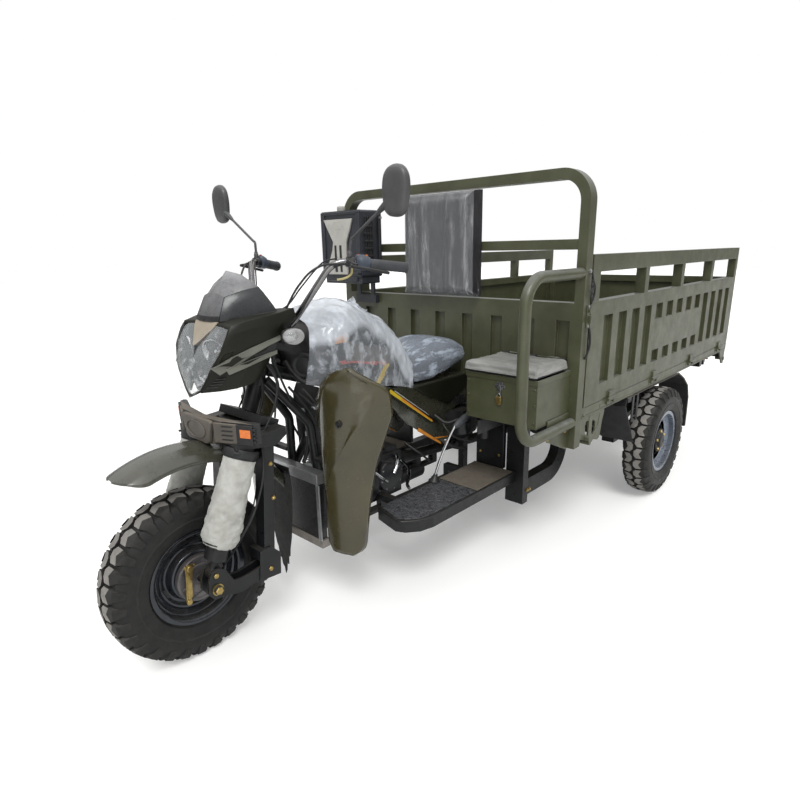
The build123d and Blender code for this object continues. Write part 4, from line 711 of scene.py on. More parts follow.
def makeBrakePlate():
    centre = place(0, 0, axleZ)
    ribs = [turnedShape([(57.5, 78), (59.5, 76), (59.5, 70), (57.5, 68)], centre, (1, 0, 0), 56),
        turnedShape([(57.5, 52), (61, 48), (62, 30), (60, 22), (57.5, 22)], centre, (1, 0, 0), 40)]
    for i in range(8):
        angle = i * math.pi / 4 + 0.3
        ribs.append(tubeShape([onTyre(centre, angle, 57.5, 46), onTyre(centre, angle, 57.5, 69)], 2.4, 8))
    addPiece("frontBrakePlateRibs", ribs, "greyBrakeCasting", "steering")
    # gold-zinc lever of the drum, its eye and pinch bolt
    lever = plateShape([(-66, 230), (-52, 226), (-44, 236), (-38, 300), (-30, 344), (-34, 358), (-48, 360),
        (-56, 348), (-58, 300)], 71.2, 76)
    lever = joined([lever, plateShape([(-60, 236), (-50, 232), (-40, 296), (-44, 330), (-52, 332)], 76,
        78.5), turnedShape([(0, 9), (10, 9)], place(71, -57, 232), (1, 0, 0), 20),
        turnedShape([(0, 11), (13, 11), (14.5, 9)], place(69, -42, 346), (1, 0, 0), 24),
        boltShape(place(76, -55, 352), (1, 0, 0), 8, 5),
        tubeShape([place(68, -30, 352), place(82, -26, 356)], 3.6, 10)])
    addPiece("frontBrakeLever", lever, "goldZincPlate", "steering", bevel=0.6)
    cable = smoothPath([place(74, -57, 232), place(98, 40, 300), place(112, 150, 420), place(100, 214, 560),
        place(92, 232, 690)])
    addPiece("frontBrakeCable", tubeShape(cable, 2.6, 8), "blackMouldedPlastic", "steering")


makeBrakePlate()


# rear wheels: dark hub, ring of gold nuts, hand holes
rearWheel = {"nuts": 5, "nutCircle": 50, "holes": 10, "holeRadius": 98, "out": 662, "back": 2320}


def makeRearWheelTrim(name, side):
    body = "rear_wheel_" + name.lower()
    centre = place(side * rearWheel["out"], rearWheel["back"], axleZ)
    face = []
    for k in range(rearWheel["nuts"]):
        angle = 2 * math.pi * k / rearWheel["nuts"] + 0.4
        spot = onTyre(centre, angle, side * 30, rearWheel["nutCircle"])
        face.append(boltShape(spot, (side, 0, 0), 15, 10))
    addPiece("rearWheelNuts" + name, face, "goldZincPlate", body)
    hub = [turnedShape([(29, 60), (33, 57), (34, 40), (42, 36), (45, 30), (45, 12), (43, 10)], centre,
        (side, 0, 0), 40)]
    addPiece("rearHubCap" + name, hub, "blackChassisPaint", body, sharp=40)
    rings = [turnedShape([(11, 86), (13.5, 84), (11, 82)], centre, (side, 0, 0), 56),
        turnedShape([(13, 118), (17, 115), (13, 112)], centre, (side, 0, 0), 56)]
    addPiece("rearDiscRings" + name, rings, "silverRimEnamel", body)
    # the hand holes are drawn as thin black pads on the disc: painted shade in the openings
    pads = []
    for i in range(rearWheel["holes"]):
        angle = 2 * math.pi * i / rearWheel["holes"]
        spot = onTyre(centre, angle, side * 10.8, rearWheel["holeRadius"])
        pads.append(turnedShape([(0, 11), (0.8, 11), (0.8, 9.4), (0.2, 9.2)], spot, (side, 0, 0), 24))
    addPiece("rearDiscHoles" + name, pads, "blackMouldedPlastic", body)


makeRearWheelTrim("Left", 1)
makeRearWheelTrim("Right", -1)
print("wheels are dressed")


# finishes of the CAD parts
wholeFinishes = {"olivePowderCoat": ("bed_floor", "side_gate_left", "side_gate_right", "tailgate",
    "headboard", "guard_rail", "tool_box", "gate_rails_left", "gate_rails_right"),
    "blackChassisPaint": ("bed_chassis", "main_frame", "rear_axle", "propshaft", "exhaust", "battery_box",
    "fork", "footboard_left", "footboard_right", "shock_left", "shock_right"),
    "oliveLacqueredPlastic": ("leg_shield_left", "leg_shield_right"), "fenderLacquer": ("body_cover",),
    "oliveLacquerDark": ("headlamp_fairing",), "smokedScreenPlastic": ("fly_screen",),
    "filterCasePlastic": ("air_filter",), "blackMouldedPlastic": ("mudguard_left", "mudguard_right",
    "cable_left", "cable_right", "mirror_left", "mirror_right")}
for finishName, dressed in wholeFinishes.items():
    for node in dressed:
        dress(node, (finishName, everywhere))
dress("fork_cover", ("blackMouldedPlastic", lambda x, y, z: abs(x) > 170), ("greyMouldedPlastic", everywhere))
for node in ("rear_rim_left", "rear_rim_right"):
    dress(node, ("silverRimEnamel", lambda x, y, z: math.hypot(y - rearWheel["back"], z - axleZ) > 64),
        ("blackChassisPaint", everywhere))
# the radiator's core takes the fin finish: its lighter flecks are painted glints, its near black partly
# painted shade in the gaps
dress("radiator", ("brushedTankAluminium", lambda x, y, z: z > 499),
    ("dullCastIron", lambda x, y, z: z < 282.5), ("radiatorFinsPaintedGlints", everywhere))
dress("tail_lamps", ("redLampPlastic", lambda x, y, z: y > 3481 and abs(x) > 400),
    ("blackChassisPaint", everywhere))
dress("swing_arms", ("greyBrakeCasting", lambda x, y, z: 30 < x < 59 and math.hypot(y, z - axleZ) < 82),
    ("blackChassisPaint", everywhere))
gripEnd, barBend = Vector((362, 686, 1242)), Vector((233, 482, 1270))
gripWay = (barBend - gripEnd).normalized()


def alongGrip(x, y, z):
    return (Vector((abs(x), y, z)) - gripEnd).dot(gripWay)


def offGrip(x, y, z):
    p = Vector((abs(x), y, z)) - gripEnd
    return (p - gripWay * p.dot(gripWay)).length


dress("handlebar",
    ("handGripRubber",
        lambda x, y, z: abs(x) > 230 and alongGrip(x, y, z) < 125.5 and offGrip(x, y, z) < 17.5),
    ("blueGreySwitchPlastic",
        lambda x, y, z: abs(x) > 200 and 126 < alongGrip(x, y, z) < 172.5 and offGrip(x, y, z) < 22),
    ("blackMouldedPlastic",
        lambda x, y, z: abs(x) > 200 and 176 < alongGrip(x, y, z) < 204 and offGrip(x, y, z) < 15.5),
    ("blackMouldedPlastic", lambda x, y, z: abs(x) > 236 and offGrip(x, y, z) > 12),
    ("darkStainlessBar", everywhere))
print("CAD parts have their finishes")


# soft goods and packing films
# One layer of thin polythene: streaked where drawn tight, milky where slack; the whiter streaks are partly
# milky film and partly painted highlights on the crinkles, and edge makes it whiter towards grazing angles as
# a painted sheen.
filmSpecs = {"clearPackingFilm": {"colour": "#c9ccd0", "streakMm": (40, 60, 26), "fineMm": 12, "low": 0.02,
    "high": 0.55, "share": (0.58, 0.70), "rough": 0.08, "edge": 0.10, "bump": 0.6},
    "seatPackingFilm": {"colour": "#bcc6d4", "streakMm": (26, 90, 26), "fineMm": 10, "low": 0.22,
    "high": 0.80, "share": (0.50, 0.72), "rough": 0.10, "edge": 0.34, "bump": 0.8},
    "slackPackingFilm": {"colour": "#d8dee6", "streakMm": (90, 34, 60), "fineMm": 14, "low": 0.14,
    "high": 0.56, "share": (0.48, 0.72), "rough": 0.10, "edge": 0.22, "bump": 0.6, "doubled": (0.58, 0.88)},
    "lidPackingFilm": {"colour": "#a6a6a2", "streakMm": (90, 60, 22), "fineMm": 5, "low": 0.52, "high": 0.80,
    "share": (0.42, 0.82), "rough": 0.25, "edge": 0.30, "bump": 0.3},
    "tightPackingFilm": {"colour": "#b4b6b8", "streakMm": (22, 60, 240), "fineMm": 40, "low": 0.17,
    "high": 0.62, "share": (0.48, 0.80), "rough": 0.12, "edge": 0.25, "bump": 0.6}}


def makeFilm(name, spec):
    made, tree = newMaterial(name)
    coord = addNode(tree, "TexCoord").outputs["Object"]
    drawn = addNode(tree, "Mapping", {"Scale": tuple(1000 / size for size in spec["streakMm"])},
        {"Vector": coord})
    streak = addNode(tree, "TexNoise", {"Scale": 1.0, "Detail": 3.0, "Roughness": 0.55, "Distortion": 0.35},
        {"Vector": drawn})
    fine = addNode(tree, "TexNoise", {"Scale": 1000 / spec["fineMm"], "Detail": 2.0, "Roughness": 0.5},
        {"Vector": coord})
    mixed = addNode(tree, "Math", {"operation": "MULTIPLY_ADD", 1: 0.16}, {0: fine, 2: streak})
    # the streak mask makes the film more opaque and white: partly milky film, partly painted highlights on
    # the crinkles
    marked = addNode(tree, "MapRange", {1: spec["share"][0] + 0.08, 2: spec["share"][1] + 0.08}, {0: mixed})
    facing = addNode(tree, "LayerWeight", {"Blend": 0.3})
    # painted sheen: the film turns more opaque and white towards grazing angles
    grazing = addNode(tree, "Math", {"operation": "MULTIPLY", 1: spec["edge"]},
        {0: facing.outputs["Facing"]})
    cover = addNode(tree, "MapRange", {3: spec["low"], 4: spec["high"]}, {0: marked})
    if "doubled" in spec:   # where the film lies two or more layers deep, by the mesh's own layers value
        deep = addNode(tree, "MapRange", {3: spec["doubled"][0], 4: spec["doubled"][1]}, {0: marked})
        layers = addNode(tree, "Attribute", {"attribute_name": "layers"})
        cover = addNode(tree, "Mix", None, {0: layers.outputs["Fac"], 2: cover, 3: deep})
    alpha = addNode(tree, "Math", {"operation": "ADD", "use_clamp": True}, {0: cover, 1: grazing})
    bump = addNode(tree, "Bump", {"Strength": spec["bump"], "Distance": 0.004}, {"Height": streak})
    shader = addNode(tree, "BsdfPrincipled", {"Base Color": toLinear(spec["colour"]),
        "Roughness": spec["rough"], "IOR": 1.5}, {"Alpha": alpha, "Normal": bump})
    addNode(tree, "OutputMaterial", None, {"Surface": shader})
    return made


for filmName, filmSpec in filmSpecs.items():
    finish[filmName] = makeFilm(filmName, filmSpec)


def makeCloth(name, colour, tint, threadMm):
    # plain-woven cotton: crossed threads, soft sheen, grey with handling
    made, tree = newMaterial(name)
    coord = addNode(tree, "TexCoord").outputs["Object"]
    # cotton thread is finer; drawn at threadMm so that it shows
    weave = [addNode(tree, "TexWave", {"bands_direction": way, "Scale": 1000 / threadMm / 6.28,
        "Distortion": 1.5, "Detail": 1.0}, {"Vector": coord}) for way in ("X", "Y", "Z")]
    cross = addNode(tree, "Math", {"operation": "MAXIMUM"}, {0: weave[0].outputs[1], 1: weave[2].outputs[1]})
    cross = addNode(tree, "Math", {"operation": "MAXIMUM"}, {0: cross, 1: weave[1].outputs[1]})
    soil = addNode(tree, "TexNoise", {"Scale": 22.0, "Detail": 5.0, "Roughness": 0.6}, {"Vector": coord})
    soiled = addNode(tree, "MapRange", {1: 0.35, 2: 0.68}, {0: soil})
    paint = addNode(tree, "Mix", {"data_type": "RGBA", 6: toLinear(colour), 7: toLinear(tint)}, {0: soiled})
    wrinkle = addNode(tree, "TexNoise", {"Scale": 90.0, "Detail": 4.0, "Distortion": 0.8}, {"Vector": coord})
    height = addNode(tree, "Math", {"operation": "MULTIPLY_ADD", 1: 0.12}, {0: cross, 2: wrinkle})
    bump = addNode(tree, "Bump", {"Strength": 0.55, "Distance": 0.003}, {"Height": height})
    shader = addNode(tree, "BsdfPrincipled", {"Roughness": 0.9, "Sheen Weight": 0.25, "IOR": 1.45},
        {"Base Color": paint.outputs[2], "Normal": bump})
    addNode(tree, "OutputMaterial", None, {"Surface": shader})
    return made


finish["greyCottonSleeve"] = makeCloth("greyCottonSleeve", "#b3b3ae", "#979690", 2.4)


def crumple(p, size, seed=0.0):
    # folded-paper relief: sharp ridges where two noises cross, from -1 to 1
    q = Vector(p) * (1000 / size) + Vector((seed, seed * 1.7, seed * 0.3))
    folds = 1 - 2 * abs(noise.noise(q)) - 1.2 * abs(noise.noise(q * 2.1 + Vector((5, 1, 2))))
    return folds + 0.5 * noise.noise(q * 4.3)


# cotton sleeves over the springs of the fork, tied at the foot
sleeveLook = {"low": (0, 338), "high": (152, 712), "rings": 60, "sides": 64,
              "radii": [(0.21, 40), (0.235, 49), (0.28, 56), (0.36, 58), (0.44, 56.5), (0.54, 53), (0.68, 51),
                        (0.82, 50), (0.92, 50.5), (0.97, 50)], "fold": 7.5, "foldMm": 60}


def makeSleeve(name, side):
    s = sleeveLook
    low, high = place(side * 136, *s["low"]), place(side * 136, *s["high"])
    way = high - low
    axis = way.normalized()
    out = axis.cross(Vector((1, 0, 0))).normalized()

    def spokeAt(angle):
        return Vector((1, 0, 0)) * math.cos(angle) + out * math.sin(angle)

    first, last = s["radii"][0][0], s["radii"][-1][0]
    rows = []
    for i in range(s["rings"]):
        t = first + (last - first) * i / (s["rings"] - 1)
        for (t0, r0), (t1, r1) in zip(s["radii"], s["radii"][1:]):
            if t <= t1 + 1e-9:
                radius = r0 + (r1 - r0) * (t - t0) / (t1 - t0)
                break
        row = []
        for k in range(s["sides"]):
            angle = 2 * math.pi * k / s["sides"]
            spoke = spokeAt(angle)
            p = low + way * t + spoke * radius / 1000
            slack = 1.5 - 0.8 * min(max((t - 0.42) / 0.2, 0), 1) - 0.55 * min(max((t - 0.84) / 0.06, 0), 1)
            skew = Vector((p.x, p.y, p.z * 1.7 + 0.4 * spoke.x * 0.05))
            gather = 1.6 * math.sin(angle * 11 + 3 * noise.noise(p * 14)) * max(0, 1 - (t - 0.21) / 0.08)
            gather += 1.2 * math.sin(angle * 9) * max(0, 1 - (0.97 - t) / 0.07)
            waist = 2.6 * math.exp(-((t - 0.40 - 0.03 * math.sin(angle + 1)) / 0.018) ** 2)
            push = s["fold"] * slack * 0.5 * crumple(skew, s["foldMm"], side * 3.0) + gather - waist
            least = 49.8 - radius if t > 0.3 else -2.2   # the shroud inside is 49 mm in radius
            row.append(p + spoke * max(push, least) / 1000)
        rows.append(row)
    piece = addPiece(name, gridShape(rows, closed=True), "greyCottonSleeve", "steering", sharp=80)
    tie = [low + way * 0.215 + spokeAt(a) * 0.0418 for a in turns(40, 1)]
    addPiece(name + "Tie", tubeShape(tie, 1.6, 8), "blackMouldedPlastic", "steering")
    band = turnedShape([(-2, 50.5), (-2, 54.6), (8, 55.6), (17, 55.6), (22, 54.6), (22, 50.5)],
        low + way * 0.938, axis, 48)
    screw = tubeShape([low + way * 0.963 + Vector((side * 0.046, 0, 0)) - out * 0.036,
        low + way * 0.963 + Vector((side * 0.036, 0, 0)) - out * 0.050], 4.0, 10)
    addPiece(name + "ClampBand", joined([band, screw]), "blackMouldedPlastic", "steering", sharp=30)


makeSleeve("frontSleeveLeft", 1)
makeSleeve("frontSleeveRight", -1)
print("fork sleeves are made")


# cushions: swelled by Blender's cloth from a slightly smaller block, then crowned and seamed
def blockPiece(x0, x1, y0, y1, z0, z1):
    mesh = bpy.data.meshes.new("block")
    shape = boxShape(x0, x1, y0, y1, z0, z1)
    mesh.from_pydata([tuple(p) for p in shape[0]], [], shape[1])
    return linked("block", mesh)


def bakedMesh(piece):
    graph = bpy.context.evaluated_depsgraph_get()
    return bpy.data.meshes.new_from_object(piece.evaluated_get(graph))


def settle(piece, before, capMm):
    # keeps each point within capMm of where it started
    for vertex, start in zip(piece.data.vertices, before):
        moved = vertex.co - start
        if moved.length > capMm / 1000:
            vertex.co = start + moved.normalized() * capMm / 1000


def puffed(piece, voxelMm, pressure, capMm, pins=None):
    # voxel mesh, cloth under pressure with no gravity for 20 frames, moves capped, then applied
    remesh = piece.modifiers.new("remesh", "REMESH")
    remesh.mode = "VOXEL"
    remesh.voxel_size = voxelMm / 1000
    piece.data = bakedMesh(piece)
    piece.modifiers.clear()
    group = piece.vertex_groups.new(name="held")
    for vertex in piece.data.vertices:
        if pins and pins(vertex.co):
            group.add([vertex.index], 1.0, "REPLACE")
    cloth = piece.modifiers.new("cloth", "CLOTH")
    settings = cloth.settings
    settings.use_pressure = True
    settings.uniform_pressure_force = pressure
    settings.effector_weights.gravity = 0
    settings.quality = 5
    settings.vertex_group_mass = "held" if pins else ""
    cloth.point_cache.frame_end = 20
    before = [v.co.copy() for v in piece.data.vertices]
    scene = bpy.context.scene
    for frameNumber in range(1, 21):
        scene.frame_set(frameNumber)
    piece.data = bakedMesh(piece)
    piece.modifiers.clear()
    scene.frame_set(1)
    settle(piece, before, capMm)
    return piece


def finishCushion(piece, name, material, body, node, levels=1):
    piece.name = name
    piece.data.materials.clear()
    piece.data.materials.append(finish[material])
    piece.data.shade_smooth()
    smoother = piece.modifiers.new("rounder", "SUBSURF")
    smoother.levels = smoother.render_levels = levels
    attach(piece, body)
    if node:
        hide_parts(node)
    return piece


saddleLook = {"spine": [(936, 858, 96), (956, 884, 118), (1010, 904, 134), (1090, 918, 146), (1180, 926, 152),
                        (1260, 918, 150), (1310, 892, 138), (1332, 850, 118)],
              "under": [(936, 792), (990, 756), (1060, 752), (1180, 778), (1270, 800), (1332, 806)],
              "voxelMm": 6, "pressure": 3.0, "capMm": 7, "seam": 862, "channels": (1060, 1210)}


def makeSaddle():
    s = saddleLook
    rows = []
    for y, top, half in s["spine"]:
        row = []
        crown = top - 5
        for k in range(24):
            a = 2 * math.pi * k / 24
            c, n = math.cos(a), math.sin(a)
            x = (half - 6) * math.copysign(abs(c) ** 0.55, c)
            under = between(s["under"], y)
            z = under + (crown - under) * (0.5 + 0.5 * math.copysign(abs(n) ** 0.6, n))
            flare = 17 * max(0, 1 - (z - under) / 70) * min(1, max(0, (806 - under) / 40))
            row.append(place(x + math.copysign(flare, c), y, z))
        rows.append(row)
    points, faces = gridShape(rows, closed=True)
    last = len(points) - 24
    faces += [tuple(range(23, -1, -1)), tuple(range(last, last + 24))]
    mesh = bpy.data.meshes.new("saddleForm")
    mesh.from_pydata([tuple(p) for p in points], [], faces)
    piece = linked("saddleForm", mesh)
    puffed(piece, s["voxelMm"], s["pressure"], s["capMm"],
        lambda p: p.z * 1000 < between(s["under"], (p.y - axleY) * 1000) + 12)
    for vertex in piece.data.vertices:   # a seam round the side and two sewn channels across the top
        p = vertex.co
        y = (p.y - axleY) * 1000
        side = math.exp(-((p.z * 1000 - s["seam"]) / 3.2) ** 2)
        across = sum(math.exp(-((y - spot) / 5) ** 2) for spot in s["channels"]) if p.z > 0.87 else 0
        p -= Vector((math.copysign(side * 0.0022, p.x) if abs(p.x) > 0.09 else 0, 0, across * 0.0025))
    finishCushion(piece, "saddleCushion", "blackSeatVinyl", "chassis", "saddle")


makeSaddle()
backrestLook = {"box": (-206, 200, 1286, 1340, 1094, 1532), "voxelMm": 6, "pressure": 4.0, "capMm": 10,
                "middle": 23, "channels": (-70, 70)}


def makeBackrest():
    b = backrestLook
    piece = blockPiece(*b["box"])
    back = place(0, 1334, 0).y
    puffed(piece, b["voxelMm"], b["pressure"], b["capMm"], lambda p: p.y > back)
    limit = place(0, 1344.4, 0).y
    for vertex in piece.data.vertices:
        p = vertex.co
        x = p.x * 1000 + b["middle"]
        if p.y > place(0, 1338, 0).y:
            p.y = min(p.y, limit)
        depth = sum(math.exp(-((x - spot) / 5) ** 2) for spot in b["channels"])
        if p.y < place(0, 1310, 0).y:
            p.y += depth * 0.004
    finishCushion(piece, "backrestCushion", "blackSeatVinyl", "chassis", "backrest")


makeBackrest()
print("cushions are made")


# films
def filmGrid(spots, columns, rows):
    # a smooth skin through a net of points
    lines = [smoothPath(line, columns) for line in spots]
    down = [smoothPath([line[i] for line in lines], rows) for i in range(len(lines[0]))]
    return [[down[i][j] for i in range(len(down))] for j in range(len(down[0]))]


def wrinkled(grid, heightMm, sizeMm, seed, keep=None):
    # moves each point along the skin's own normal by folded-paper relief
    made = []
    for r, row in enumerate(grid):
        line = []
        for c, p in enumerate(row):
            across = row[min(c + 1, len(row) - 1)] - row[max(c - 1, 0)]
            along = grid[min(r + 1, len(grid) - 1)][c] - grid[max(r - 1, 0)][c]
            normal = across.cross(along)
            normal = normal.normalized() if normal.length > 1e-9 else Vector((0, 0, 1))
            share = keep(p) if keep else 1.0
            line.append(p + normal * crumple(p, sizeMm, seed) * share * heightMm / 1000)
        made.append(line)
    return made


# tank film: stations from front to back, each from the left hem up to the ridge; the right half mirrors it
tankFilmLook = {
    "stations": [
        [(170, 392, 876), (150, 424, 950), (126, 450, 1020), (76, 480, 1056), (0, 490, 1070)],
        [(182, 450, 860), (160, 470, 952), (140, 494, 1040), (84, 524, 1078), (0, 536, 1092)],
        [(188, 520, 850), (188, 530, 960), (172, 560, 1062), (92, 590, 1112), (0, 604, 1124)],
        [(188, 610, 832), (188, 620, 950), (170, 646, 1058), (90, 668, 1116), (0, 674, 1132)],
        [(184, 700, 812), (184, 710, 930), (164, 734, 1030), (86, 752, 1082), (0, 760, 1100)],
        [(172, 790, 796), (174, 800, 900), (154, 824, 990), (80, 842, 1040), (0, 850, 1052)],
        [(166, 846, 784), (166, 858, 870), (148, 878, 950), (76, 898, 996), (0, 906, 1010)],
        [(162, 898, 770), (160, 908, 836), (138, 926, 896), (72, 944, 930), (0, 952, 946)],
        [(158, 936, 756), (152, 948, 800), (130, 962, 846), (70, 984, 896), (0, 996, 914)],
    ], "fold": 6.0, "foldMm": 120,
    "doubled": [(380, 962), (440, 985), (545, 1012), (660, 1030), (770, 970), (880, 812), (1040, 740)]}


def filmTwist():
    # the twisted tail of the bag, standing up behind the filler cap
    spine = smoothPath(places(((38, 684, 1094), (40, 706, 1112), (44, 734, 1114), (50, 758, 1090),
        (54, 770, 1062))), 7)
    rows = []
    for i, centre in enumerate(spine):
        turn, width = 0.35 + 0.13 * i, 0.010 + 0.004 * math.sin(i * 0.55) + 0.0004 * i
        across = Vector((math.cos(turn), 0.5 * math.sin(turn), math.sin(turn)))
        bow = Vector((0, math.sin(turn), 0.4))
        rows.append([centre + across * width * k / 5 + bow * 0.006 * math.cos(k * 1.3 + i * 0.4)
            for k in range(-5, 6)])
    return gridShape(wrinkled(rows, 3.0, 14, 2.0))


def makeTankFilm():
    t = tankFilmLook
    net = []
    for station in t["stations"]:
        half = places(station)
        other = [place(-p[0], p[1] + 4, p[2]) for p in reversed(station[:-1])]
        net.append(half + other)
    grid = filmGrid(net, 14, 13)
    grid = wrinkled(grid, t["fold"], t["foldMm"], 4.0)

    piece = addPiece("tankPackingFilm", joined([gridShape(grid), filmTwist()]), "slackPackingFilm",
        "chassis", sharp=180)
    layers = piece.data.attributes.new("layers", "FLOAT", "POINT")
    for vertex, value in zip(piece.data.vertices, layers.data):
        y, z = (vertex.co.y - axleY) * 1000, vertex.co.z * 1000
        over = z - between(t["doubled"], y) - 9 * math.sin(y / 31) - 6 * math.sin(vertex.co.x * 40)
        value.value = min(max(0.5 + over / 26, 0), 1)


makeTankFilm()


def makeLampFilm():
    half = [  # columns from the middle out to the left, each from the top down
        [(0, 112, 1040), (0, 84, 1000), (0, 66, 945), (0, 60, 900), (0, 60, 856)],
        [(50, 122, 1070), (52, 92, 1010), (42, 72, 950), (26, 64, 900), (6, 62, 858)],
        [(104, 132, 1086), (108, 104, 1020), (84, 84, 955), (46, 72, 900), (14, 66, 862)],
        [(132, 152, 1082), (137, 117, 1020), (106, 94, 960), (60, 84, 905), (20, 76, 868)]]
    outline = [[(-x, y, z) for x, y, z in column] for column in reversed(half[1:])] + half
    grid = filmGrid([[place(x, y - 6, z) for x, y, z in column] for column in outline], 12, 12)
    grid = wrinkled(grid, 3.0, 60, 9.0)
    piece = addPiece("headlampPackingFilm", gridShape(grid), "clearPackingFilm", "steering", sharp=180)


makeLampFilm()


def wrapFilm(name, target, offsetMm, keep, fold, foldMm, seed, body, film):
    # a film that follows a cushion's own skin, a few millimetres off, where keep says so
    mesh = bakedMesh(target)
    mesh.transform(target.matrix_world)
    shown = [polygon for polygon in mesh.polygons if keep(polygon.center, polygon.normal)]
    used = sorted({i for polygon in shown for i in polygon.vertices})
    index = {v: i for i, v in enumerate(used)}
    points = []
    for v in used:
        vertex = mesh.vertices[v]
        lift = offsetMm + fold * (0.5 + 0.5 * crumple(vertex.co, foldMm, seed))
        points.append(vertex.co + vertex.normal * max(lift, 0.6) / 1000)
    faces = [[index[i] for i in polygon.vertices] for polygon in shown]
    piece = addPiece(name, (points, faces), film, body, sharp=180)
    return piece


lidLook = {"box": (311, 632, 1076, 1323, 829, 866), "voxelMm": 6, "pressure": 3.0, "capMm": 6}


def makeLid():
    b = lidLook
    piece = blockPiece(*b["box"])
    puffed(piece, b["voxelMm"], b["pressure"], b["capMm"], lambda p: p.z < 0.834)
    for vertex in piece.data.vertices:
        vertex.co.z = max(vertex.co.z, 0.8268)
        vertex.co.y = min(vertex.co.y, place(0, 1325, 0).y)
        vertex.co.x = min(vertex.co.x, 0.638)
    finishCushion(piece, "lidCushion", "blackSeatVinyl", "tool_box_lid", "tool_box_lid")
    ears = []
    for x in (345, 475, 605):
        ears.append(tubeShape([place(x - 12, 1331, 870), place(x + 12, 1331, 870)], 4.5, 14))
        ears.append(boxShape(x - 12, x + 12, 1313, 1331, 863, 870))
    addPiece("lidHinges", ears, "blackChassisPaint", "tool_box_lid", bevel=0.8)
    return piece


lid = makeLid()
wrapFilm("lidPackingFilm", lid, 0.8, lambda p, n: p.z > 0.838, 1.8, 60, 3.0, "tool_box_lid",
    "lidPackingFilm")
saddle = bpy.data.objects["saddleCushion"]
wrapFilm("saddlePackingFilm", saddle, 1.2, lambda p, n: p.z > 0.77, 3.4, 46, 2.0, "chassis",
    "seatPackingFilm")
backrest = bpy.data.objects["backrestCushion"]
backFace = place(0, 1338, 0).y
wrapFilm("backrestPackingFilm", backrest, 1.0, lambda p, n: p.y < backFace and n.x < 0.72, 2.0, 70, 6.0,
    "chassis", "tightPackingFilm")
print("films are laid")


# front bodywork: leg shields, nose fairing and its trims
def softly(table, value, spread=16):
    # the same reading with its corners rounded off
    low, high = table[0][0], table[-1][0]
    reach = min(spread, value - low, high - value) if low < value < high else 0
    return sum(between(table, value + reach * k / 4) for k in range(-4, 5)) / 9


def solidified(piece, thick, bevel=0.0):
    shell = piece.modifiers.new("thickness", "SOLIDIFY")
    shell.thickness = thick / 1000
    shell.offset = -1
    if bevel:
        rounded = piece.modifiers.new("softEdges", "BEVEL")
        rounded.width = bevel / 1000
        rounded.segments = 2
        rounded.limit_method = "ANGLE"
        rounded.angle_limit = math.radians(24)
    return piece


legShieldLook = {
    "plan": [(100, 480), (112, 470), (152, 453), (196, 430), (230, 425), (262, 428), (300, 440), (330, 458),
             (362, 496), (390, 556)],
    "inner": [(262, 214), (290, 190), (340, 170), (560, 156), (690, 150), (726, 122), (760, 112), (808, 116),
              (826, 146), (868, 176), (912, 232), (936, 300)],
    "outer": [(262, 296), (276, 318), (300, 330), (470, 346), (610, 364), (770, 390), (862, 386), (900, 356),
              (936, 312)],
    "fold": [(262, 176), (340, 184), (560, 174), (690, 166), (726, 140), (760, 130), (808, 134), (868, 194),
             (936, 302)],
    "crease": [(262, 186), (330, 196), (450, 216), (556, 240), (650, 290), (740, 336), (800, 358), (856, 380),
               (900, 354), (936, 310)],
    "low": 262, "high": 936, "thick": 3.0}


def makeLegShield(name, side):
    s = legShieldLook
    tall = s["high"] - s["low"]
    rows = []
    for i in range(49):
        z = s["low"] + tall * i / 48
        inner, outer = softly(s["inner"], z), softly(s["outer"], z)
        fold = min(max(between(s["fold"], z), inner + 2), outer - 6)
        crease = min(max(between(s["crease"], z), fold + 2), outer - 2)
        xs = [inner + (fold - inner) * k / 5 for k in range(5)]
        xs += [fold + (crease - fold) * k / 12 for k in range(12)]
        xs += [crease + (outer - crease) * k / 8 for k in range(9)]
        row = []
        for x in xs:
            y = between(s["plan"], x)
            y += 5.4 * math.log(1 + math.exp((fold - x) / 12))
            y += 0.16 * max(0, x - crease) * max(0, 1 - (x - crease) / 260)
            inside, outside = max(0, crease - x), max(0, x - crease)
            y += 13 * math.exp(-inside / 50) * (inside > 0) - 3 * math.exp(-outside / 60) * (inside <= 0)
            y -= 12 * math.sin(math.pi * min(max((z - s["low"]) / tall, 0), 1)) - 2
            row.append(place(side * x, y, z))
        edge = row[-1] + Vector((side * 0.0012, 0.005, 0))
        row += [edge, edge + Vector((side * 0.0004, 0.013, 0))]
        rows.append(row)
    shape = gridShape(rows)
    if side > 0:
        shape = flipped(shape)
    piece = addPiece(name, shape, "oliveLacqueredPlastic", "chassis", sharp=38)
    solidified(piece, s["thick"])
    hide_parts("leg_shield_left" if side > 0 else "leg_shield_right")
    spot = place(side * 283, 425, 751)
    bolt = joined([turnedShape([(0, 12), (4, 12), (4.5, 10.4), (1.4, 9.4), (1.4, 0.1)], spot,
        (side * 0.1, -1, 0), 28), boltShape(spot + Vector((0, -0.0012, 0)), (side * 0.1, -1, 0), 8, 3.5,
        False)])
    addPiece(name + "Bolt", bolt, "blackMouldedPlastic", "chassis", sharp=30)
    stays = joined([sideBox(side, 84, 236, 470, 498, 560, 576), sideBox(side, 222, 236, 436, 472, 560, 576),
        sideBox(side, 96, 236, 498, 514, 300, 316), sideBox(side, 222, 236, 436, 500, 300, 316)])
    addPiece(name + "Stays", stays, "blackChassisPaint", "chassis", bevel=1.5)


makeLegShield("legShieldLeft", 1)
makeLegShield("legShieldRight", -1)

